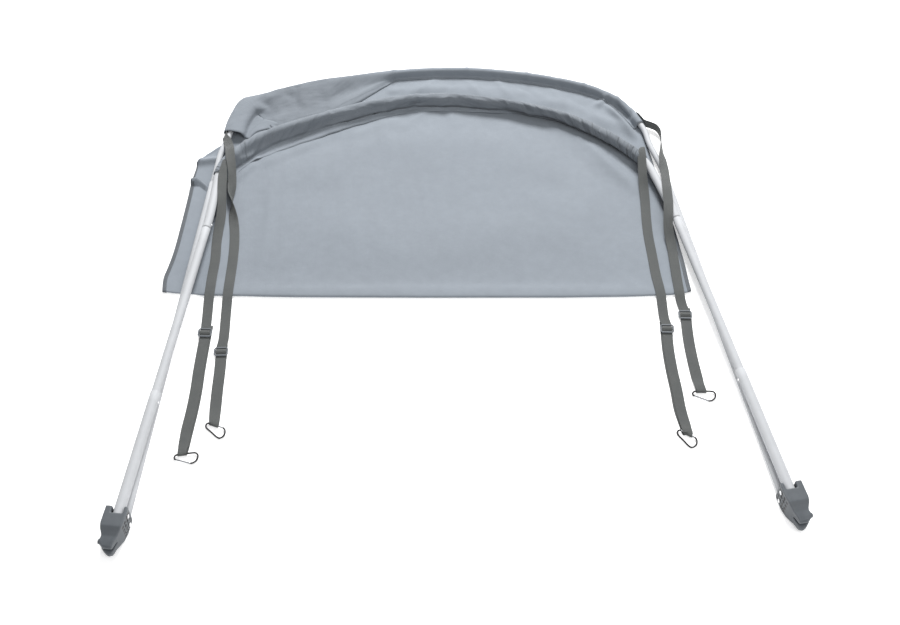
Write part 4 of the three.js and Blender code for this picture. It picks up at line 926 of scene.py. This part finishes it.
V_LOW = (1, 0.984, 0.966, 0.945, 0.918, 0.885, 0.85, 0.79, 0.66, 0.48, 0.3, 0.14, 0.045)
V_UP = (0.025, 0.055, 0.11, 0.2, 0.31, 0.43, 0.55, 0.67, 0.78, 0.86, 0.91, 0.95, 1)
low_rows = [layer_row(end_low, LOW_LEFT, LOW_RIGHT_BOW, low_height, EDGE_LOW_Z, v) for v in V_LOW]
up_rows = [layer_row(end_up, UP_LEFT, UP_RIGHT_BOW, up_height, EDGE_UP_Z, v) for v in V_UP]
rows_a = sleeve_rows(LINE_A, low_rows[0], section_a(low_rows[0][:, 2], shares))
rows_b = sleeve_rows(LINE_B, up_rows[-1], section_b(up_rows[-1][:, 2], shares))
STEPS = {"sleeve_a": 3, "low": 4, "hidden": 1, "fold": 3, "up": 4, "sleeve_b": 3}
SHOWN_LOW = sum(v > 0.75 for v in V_LOW)
parts = {
    "sleeve_a": rows_a[::-1], "low": low_rows[:SHOWN_LOW], "hidden": low_rows[SHOWN_LOW:],
    "fold": [fold_row(d) for d in (-90, -45, 0, 45, 90)], "up": up_rows, "sleeve_b": rows_b,
}
kinds = [kind for kind, rows in parts.items() for _ in rows]
steps = [STEPS[k] for k in kinds[:-1]]
grid = refined(np.concatenate(list(parts.values())), steps)
row_kind = [k for k, n in zip(kinds, steps) for _ in range(n)] + [kinds[-1]]

SIGN = {"sleeve_a": 1, "low": -1, "hidden": -1, "fold": -1, "up": 1, "sleeve_b": -1}


def grid_normals(g):
    return unit(np.cross(np.gradient(g, axis=1), np.gradient(g, axis=0)))


def crease(x, y, row):
    """Height of one soft crease from (x0, y0) to (x1, y1), fading at its ends."""
    a, b = np.array((row["x0"], row["y0"])), np.array((row["x1"], row["y1"]))
    run = b - a
    t = ((x - a[0]) * run[0] + (y - a[1]) * run[1]) / (run @ run)
    nearest = np.clip(t, 0, 1)
    off = np.hypot(x - a[0] - nearest * run[0], y - a[1] - nearest * run[1])
    fade = smooth(t, -0.2, 0.3) * (1 - smooth(t, 0.7, 1.2))
    return row["height"] * fade * np.exp(-((off / row["width"]) ** 1.6))


# Creases laid over the photograph, as plan positions.
CREASE = "x0 y0 x1 y1 width height"
BETWEEN_ARCHES = table(CREASE, [
    (-299, 1313, -117, 1437, 13, 6), (-330, 1335, -190, 1425, 26, -3), (-262, 1300, -60, 1392, 16, -3.5),
    (-505, 1338, -470, 1318, 15, -5), (-480, 1340, -440, 1378, 14, 3), (-440, 1372, -405, 1352, 16, -3.5),
    (-410, 1390, -376, 1408, 11, -2.5), (-500, 1205, -430, 1295, 15, 4), (-60, 1365, 5, 1428, 12, 3.5),
    (20, 1350, 62, 1418, 14, -3), (128, 1345, 92, 1420, 12, 3.5), (212, 1341, 178, 1415, 13, 4),
    (292, 1330, 240, 1400, 12, -3.5), (372, 1300, 330, 1378, 13, 3), (438, 1262, 398, 1345, 14, -4),
    (449, 1288, 492, 1322, 9, 10), (484, 1294, 546, 1165, 11, 17), (548, 1262, 560, 1205, 8, 4),
    (512, 1290, 548, 1232, 8, -6),
])
FRONT_PANEL = table(CREASE, [
    (-560, 1035, -500, 1108, 11, 6), (-525, 1020, -470, 1110, 16, -4), (-500, 1085, -330, 1180, 16, 5),
    (-440, 1105, -250, 1200, 20, -4), (-260, 1190, -110, 1262, 18, 4.5), (-110, 1262, -170, 1180, 20, 3.5),
    (-27, 1296, -105, 1210, 18, 4), (40, 1288, 52, 1215, 18, 3), (140, 1262, 160, 1180, 22, -3),
    (300, 1228, 410, 1150, 18, 4.5), (400, 1156, 530, 960, 20, 9), (350, 1130, 480, 930, 30, -5),
    (505, 1085, 420, 1150, 12, 3.5), (-450, 1060, -468, 760, 24, 3.5), (250, 1000, 330, 740, 50, 3),
    (-160, 1060, -300, 760, 55, 3),
])
FRONT_BAND = table(CREASE, [
    (-545, 1105, -505, 1135, 5, 5.1), (-530, 1075, -490, 1128, 5, 5.95), (-497, 1128, -380, 1196, 6, -5.1),
    (-400, 1196, -262, 1262, 6, -5.1), (-330, 1222, -180, 1292, 6, 4.42), (-215, 1262, -120, 1302, 5, 4.42),
    (-90, 1290, -22, 1322, 6, -4.42), (-18, 1296, 45, 1318, 5, 4.08), (150, 1288, 255, 1256, 5, -5.1),
    (190, 1292, 330, 1234, 6, 4.08), (270, 1254, 360, 1210, 5, -5.1), (345, 1236, 430, 1172, 6, 3.4),
])
LEFT_FLAP = table(CREASE, [(-668, 1112, -596, 1124, 11, 13)])
CREASES = {
    "sleeve_a": BETWEEN_ARCHES, "low": BETWEEN_ARCHES + LEFT_FLAP, "up": FRONT_PANEL, "sleeve_b": FRONT_BAND,
}
# How strongly painted shade darkens each pocket, by share of its length: it stands for the shade on the
# pockets' fronts and, strongest at the right end, under the front pocket. It also sets how deep the rucks
# bump.
POCKET_PAINTED_SHADE = {
    "sleeve_a": [
        (0, 0.3), (0.1, 0.4), (0.15, 0.75), (0.27, 0.75), (0.42, 0.1), (0.6, 0), (0.8, 0.35), (0.93, 0.5),
        (0.965, 0),
    ],
    "sleeve_b": [(0, 0.5), (0.3, 0.6), (0.5, 0.7), (0.8, 1.1), (1, 1.2)],
}
# Shares of each pocket's rows over which its painted shade fades out; the rear pocket's never does.
POCKET_SHADE_FADE = {"sleeve_a": (1, 2), "sleeve_b": (0.8, 0.97)}
POCKET_GATHER = {"sleeve_a": 0.3, "sleeve_b": 1}
# Short puckers where a pocket is gathered on its bow: x of the middle, how far it leans.
PUCKERS = {
    "sleeve_a": table("x lean width height", [
        (-395, 14, 7, -2), (-120, 18, 6, 1.8), (12, 22, 7, -2.2), (96, -10, 6, 1.6), (186, -24, 6, -2.4),
        (270, -20, 7, 1.8), (352, -26, 7, -2.6), (430, -20, 6, 2.2), (482, -16, 6, -2.6), (520, -10, 5, 2),
    ]),
    "sleeve_b": table("x lean width height", [
        (-470, 16, 6, -2), (-300, 24, 6, 1.8), (-150, 22, 7, -2), (-52, 26, 6, 2), (70, -16, 6, -1.8),
        (205, -30, 6, -2.4), (300, -30, 6, 1.8), (395, -24, 6, -2), (470, -18, 5, 1.8),
    ]),
}
UNEVEN_WIDTH = 130
UNEVEN_HEIGHT = 0.8
shown = {kind: [r for r, k in enumerate(row_kind) if k == kind] for kind in parts}
normals = grid_normals(grid)
lift = np.zeros(grid.shape[:2])
sleeve_share = {r: t for kind in PUCKERS for r, t in zip(shown[kind], np.linspace(0, 1, len(shown[kind])))}
for r, kind in enumerate(row_kind):
    x, y = grid[r, :, 0], grid[r, :, 1]
    for row in CREASES.get(kind, []):
        lift[r] += crease(x, y, row)
    for row in PUCKERS.get(kind, []):
        share = sleeve_share[r]
        off = (x - row["x"] - row["lean"] * (share - 0.5)) / row["width"]
        lift[r] += row["height"] * sin(pi * share) * np.exp(-off * off)
    if kind == "up":
        spots = [Vector((a / UNEVEN_WIDTH, b / UNEVEN_WIDTH, 3.0)) for a, b in zip(x, y)]
        uneven = UNEVEN_HEIGHT * np.array([noise.fractal(spot, 1.0, 2.0, 3) for spot in spots])
        lift[r] += uneven * smooth(columns, 2, 8) * (1 - smooth(columns, LAST - 6, LAST - 2))
upright = np.array([SIGN[k] for k in row_kind])[:, None]
grid = grid + normals * (lift * upright)[..., None]

# The free flap edges at the left curl up, except under the rear leg.
last_low = row_kind.index("low")
first_b = row_kind.index("sleeve_b")
CURL_ROWS = 22
for start, step, reach, curl in ((last_low, 1, 12, 3), (first_b - 1, -1, 15, 16)):
    edge = grid[start].copy()
    for r in range(start, start + step * CURL_ROWS, step):
        d = np.linalg.norm(grid[r, :, :2] - edge[:, :2], axis=1)
        leg_gap = leg_x("a_left", grid[r, :, 1]) - grid[r, :, 0]
        beside = smooth(leg_gap, 8, 20) * (1 - smooth(columns, FLAP - 1.2, FLAP))
        grid[r, :, 2] += curl * beside * (1 - smooth(d, 3, reach)) * (0.8 + 0.2 * np.sin(columns * 1.9))

TUBE_CLEAR = 0.25
TUBE_SPOTS = 900
STRAP_CLEAR = 0.35
STRAP_BESIDE = 15  # beyond it the cloth may rise again
FOLD_Y, LYING_Z = 570, 12  # a strap lies on the cloth behind the first and below the second


def kept_clear(rows, line, least):
    """Moves the cloth of those rows out to the least distance from a bow's centre line."""
    axis = line.at(np.linspace(0, 1, TUBE_SPOTS))
    for r in rows:
        near = axis[((grid[r][:, None] - axis[None]) ** 2).sum(-1).argmin(1)]
        away = grid[r] - near
        far = np.linalg.norm(away, axis=1, keepdims=True)
        grid[r] = near + away * np.maximum(1, least / np.maximum(far, 1e-6))


def pressed_by_straps():
    """Keeps the upper layer under every strap that lies on it."""
    for strap in STRAPS:
        line = strap_frames(strap_stations(strap))[0]
        line = line[:np.argmax(line[:, 1] < FOLD_Y)]
        line = line[line[:, 2] < LYING_Z]
        for r in shown["up"] + shown["fold"]:
            off = np.hypot(*(grid[r][:, None, i] - line[None, :, i] for i in (0, 1)))
            near = off.argmin(1)
            beyond = 0.9 * np.maximum(off.min(1) - STRAP_BESIDE, 0)
            room = line[near, 2] - WEB / 2 - CLOTH / 2 - STRAP_CLEAR + beyond
            grid[r][:, 2] = np.minimum(grid[r][:, 2], room)


pressed_by_straps()
kept_clear(shown["sleeve_a"], LINE_A, A_RADIUS + CLOTH / 2 + TUBE_CLEAR)
kept_clear(shown["sleeve_b"], LINE_B, B_RADIUS + CLOTH / 2 + TUBE_CLEAR)
lowest = np.array([UP_Z - 0.5 if k == "up" else LOW_Z + 0.02 for k in row_kind])[:, None]
grid[..., 2] = np.maximum(grid[..., 2], lowest)


def cloth_parts(grid, exists):
    index = -np.ones(grid.shape[:2], int)
    index[exists] = np.arange(exists.sum())
    faces = []
    for r in range(grid.shape[0] - 1):
        a, b = index[r], index[r + 1]
        quads = np.stack([a[:-1], a[1:], b[1:], b[:-1]], -1)
        faces += [tuple(q) for q in quads[(quads >= 0).all(1)]]
    across = np.broadcast_to(run_length(grid, 1)[len(grid) // 2], grid.shape[:2])
    uv = np.stack([across, run_length(grid)], -1)[exists] / 1000
    return grid[exists], faces, uv


exists = np.ones(grid.shape[:2], bool)
exists[list(sleeve_share), :SLEEVE] = False
points, faces, uv = cloth_parts(grid, exists)
canvas = add_mesh("canvas_cloth", points, faces, CANVAS, "canvas", uv, stands_for="canvas")
# Painted shade and gathering for each pocket row, kept in the "pocket" UV layer: the first channel darkens
# the canvas colour, the second scales the rucks' bump.
pocket = np.zeros((*grid.shape[:2], 2))
for kind, rows in POCKET_PAINTED_SHADE.items():
    for r in shown[kind]:
        tone = (1 - smooth(sleeve_share[r], *POCKET_SHADE_FADE[kind])) * table_at(rows, shares)
        pocket[r] = np.stack([tone, tone * POCKET_GATHER[kind]], -1)
write_uv(canvas.data, "pocket", pocket[exists])
modify(canvas, "SOLIDIFY", thickness=CLOTH / 1000, offset=0, use_even_offset=False)

# Stitching
STITCH = {"pitch": 4.4, "length": 3, "radius": 0.36, "raised": 0.12}
STITCH_FORM = [(0, 0.25), (0.22, 0.85), (0.5, 1), (0.78, 0.85), (1, 0.25)]  # share of length, of radius
STITCH_SIDES = 6


def stitched(name, lines):
    """Rows of small raised stitches along each (path, outward directions)."""
    points, faces = [], []
    for path, up in lines:
        run = run_length(path)
        for start in np.arange(2, run[-1] - STITCH["length"] - 2, STITCH["pitch"]):
            stops = start + np.array([share for share, _ in STITCH_FORM]) * STITCH["length"]
            middle, out = read_rows(stops, run, path), unit(read_rows(stops[2], run, up))
            side = unit(np.cross(middle[-1] - middle[0], out))
            base = len(points)
            ring = circle(STITCH_SIDES, side, out)
            for spot, (_, size) in zip(middle, STITCH_FORM):
                points += list(spot + out * STITCH["raised"] * size + ring * STITCH["radius"] * size)
            faces += [tuple(i + base for i in f) for f in ring_faces(len(STITCH_FORM), STITCH_SIDES)]
    add_mesh(name, np.array(points), faces, THREAD, "binding")


def on_cloth(rows, cols, outwards):
    """A line of the cloth's grid raised to its outer face."""
    out = grid_normals(grid)[rows, cols] * outwards
    return grid[rows, cols] + out * CLOTH / 2, out


sleeve_cols, flap_cols = np.arange(SLEEVE, len(columns)), np.arange(3, SLEEVE)
hems = [
    (2, sleeve_cols, SIGN["sleeve_a"]), (len(grid) - 3, sleeve_cols, SIGN["sleeve_b"]),
    (last_low + 1, flap_cols, -SIGN["low"]), (first_b - 2, flap_cols, SIGN["up"]),
]
for kind in ("sleeve_a", "sleeve_b"):
    hems += [(np.array(shown[kind]), col, SIGN[kind]) for col in (SLEEVE + 1, len(columns) - 2)]
stitched("canvas_hem_stitches", [on_cloth(*hem) for hem in hems])

# Bindings
INNER = CLOTH / 2 + 0.3
OUTER = INNER + TAPE
BACK = 0.55
SEAM_IN = 1.6
TAPE_FACE = [
    (TAPE_WIDTH, OUTER - 0.15), (TAPE_WIDTH - 0.4, OUTER), (TAPE_WIDTH / 2, OUTER), (0.6, OUTER),
    (-BACK - TAPE * 0.6, OUTER - 0.35), (-BACK - TAPE, OUTER * 0.4),
]
TAPE_RING = [
    *TAPE_FACE, *[(a, -b) for a, b in TAPE_FACE[::-1]],
    (TAPE_WIDTH, -INNER), (-BACK, -INNER), (-BACK, INNER), (TAPE_WIDTH, INNER),
]


def binding(name, column, step, rows):
    edge = grid[rows, column]
    inwards = unit((grid[rows, column + step * 4] - edge) * (1, 1, 0))
    normal = unit(np.cross(inwards, unit(np.gradient(edge, axis=0))))
    points, faces, uv = strip_parts(edge, inwards, normal, TAPE_RING, run_length(np.array(TAPE_RING)))
    in_from_edge = edge + inwards * (TAPE_WIDTH - SEAM_IN)
    stitched(name + "_stitches", [(in_from_edge + normal * OUTER * face, normal * face) for face in (1, -1)])
    made = add_mesh(name + "_tape", points, faces, TAPE_LOOK, "binding", uv, stands_for=name)


layer_rows = [r for r in range(len(grid)) if r not in sleeve_share]
binding("binding_left", 0, 1, layer_rows)
binding("binding_right", -1, -1, layer_rows[3 * STEPS["low"]:-3 * STEPS["up"]])

# Webbing
# Half of the section, in shares of the width and thickness; the other half is turned.
WEB_HALF = [
    (-0.5, -0.18), (-0.485, -0.42), (-0.45, -0.5), (-0.25, -0.47), (0, -0.46), (0.25, -0.47), (0.45, -0.5),
    (0.485, -0.42), (0.5, -0.18),
]
WEB_RING = WEB_HALF + [(-a, -b) for a, b in WEB_HALF]
for strap in STRAPS:
    line, side, run, width = strap_frames(strap_stations(strap))
    normal = unit(np.cross(run, side)) * WEB
    across = np.array([a for a, _ in WEB_RING]) * WEB_WIDTH
    points, faces, uv = strip_parts(line, side * width[:, None], normal, WEB_RING, across)
    name = strap["name"]
    web = add_mesh(name + "_web", points, faces, WEB_LOOK, "webbing", uv, stands_for=name)
    slider = NODES[name.replace("strap", "slider")]
    dress(slider, PLASTIC)
    modify(slider, "WELD", merge_threshold=MERGE)
    modify(slider, "BEVEL", width=0.0007, segments=3, limit_method="ANGLE", angle_limit=radians(35),
           harden_normals=True)

# Hooks
HOOK_BODY = [
    (-5, 12), (-7.6, 9.5), (-7.8, 5.5), (-5.2, 1.6), (0, 0), (18, 0), (36, 0), (42, 1.6), (45.5, 7), (45, 14),
    (41, 20.5), (34.5, 25), (28.5, 25.8),
]
GATE = {"from": (-3.4, 12.6), "to": (27.3, 25.3), "radius": 1.7}
HOOK_STEPS, GATE_STEPS, WIRE_SIDES = 7, 12, 18
HOOKS = table("name x y turn flip", [
    ("b_left", -629.8, 180, 5.7, -1), ("a_left", -569.4, 250.5, -45, 1), ("b_right", 521.5, 187, -57, 1),
    ("a_right", 581.1, 304.9, -2.3, -1),
])
for hook in HOOKS:
    turn = radians(hook["turn"])
    p = np.array((cos(turn), sin(turn), 0))
    q = np.array((-sin(turn), cos(turn), 0)) * hook["flip"]

    def spot(a, b):
        at = np.array((hook["x"], hook["y"], 0)) + p * a + q * b
        at[2] = HOOK_Z - (0.08 * b if hook["flip"] < 0 else 0.16 * max(0, GATE["from"][1] - b))
        return at

    body = refined([spot(a, b) for a, b in HOOK_BODY], HOOK_STEPS)
    bar = np.linspace(spot(*GATE["from"]), spot(*GATE["to"]), GATE_STEPS)
    for kind, path, radius, look in (("hook", body, WIRE, BLACK), ("gate", bar, GATE["radius"], BRIGHT)):
        name = f"{kind}_{hook['name']}"
        parts = wire_parts(path, radius, WIRE_SIDES)
        add_mesh(name + "_wire", *parts, look, kind + "_wire", stands_for=name)

# Stage
FLOOR_SIZE = 16
FLOOR_GLOW = 0.35
SKY = 0.5
bpy.ops.mesh.primitive_plane_add(size=FLOOR_SIZE, location=(0, 0, 0))
floor = bpy.context.active_object
floor.name = "floor"
ground = Recipe("floor_paper", Roughness=0.85, Emission_Color=(1, 1, 1, 1), Emission_Strength=FLOOR_GLOW)
tone = ground.noise(ground.place(), 0.8, 2.0)
floor.data.materials.append(ground.done(ground.colours(tone, (0.92, 0.92, 0.92, 1), (0.94, 0.94, 0.94, 1))))

world = bpy.data.worlds.new("studio")
bpy.context.scene.world = world
world.use_nodes = True
world.node_tree.nodes["Background"].inputs["Color"].default_value = (1, 1, 1, 1)
world.node_tree.nodes["Background"].inputs["Strength"].default_value = SKY


def area_light(name, place, target, size, power):
    lamp = placed(name, bpy.data.lights.new(name, "AREA"))
    lamp.data.shape = "DISK"
    lamp.data.size = size
    lamp.data.energy = power
    lamp.location = place
    away = np.array(target, float) - np.array(place, float)
    tilt = acos(-away[2] / np.linalg.norm(away))
    lamp.rotation_euler = (tilt, 0, atan2(away[1], away[0]) - pi / 2)


area_light("key", (0.45, 4.1, 3.4), (0, 0.2, 0), 1.5, 400)
area_light("fill", (1.2, -2.4, 3.6), (0, 0, 0), 3.0, 70)
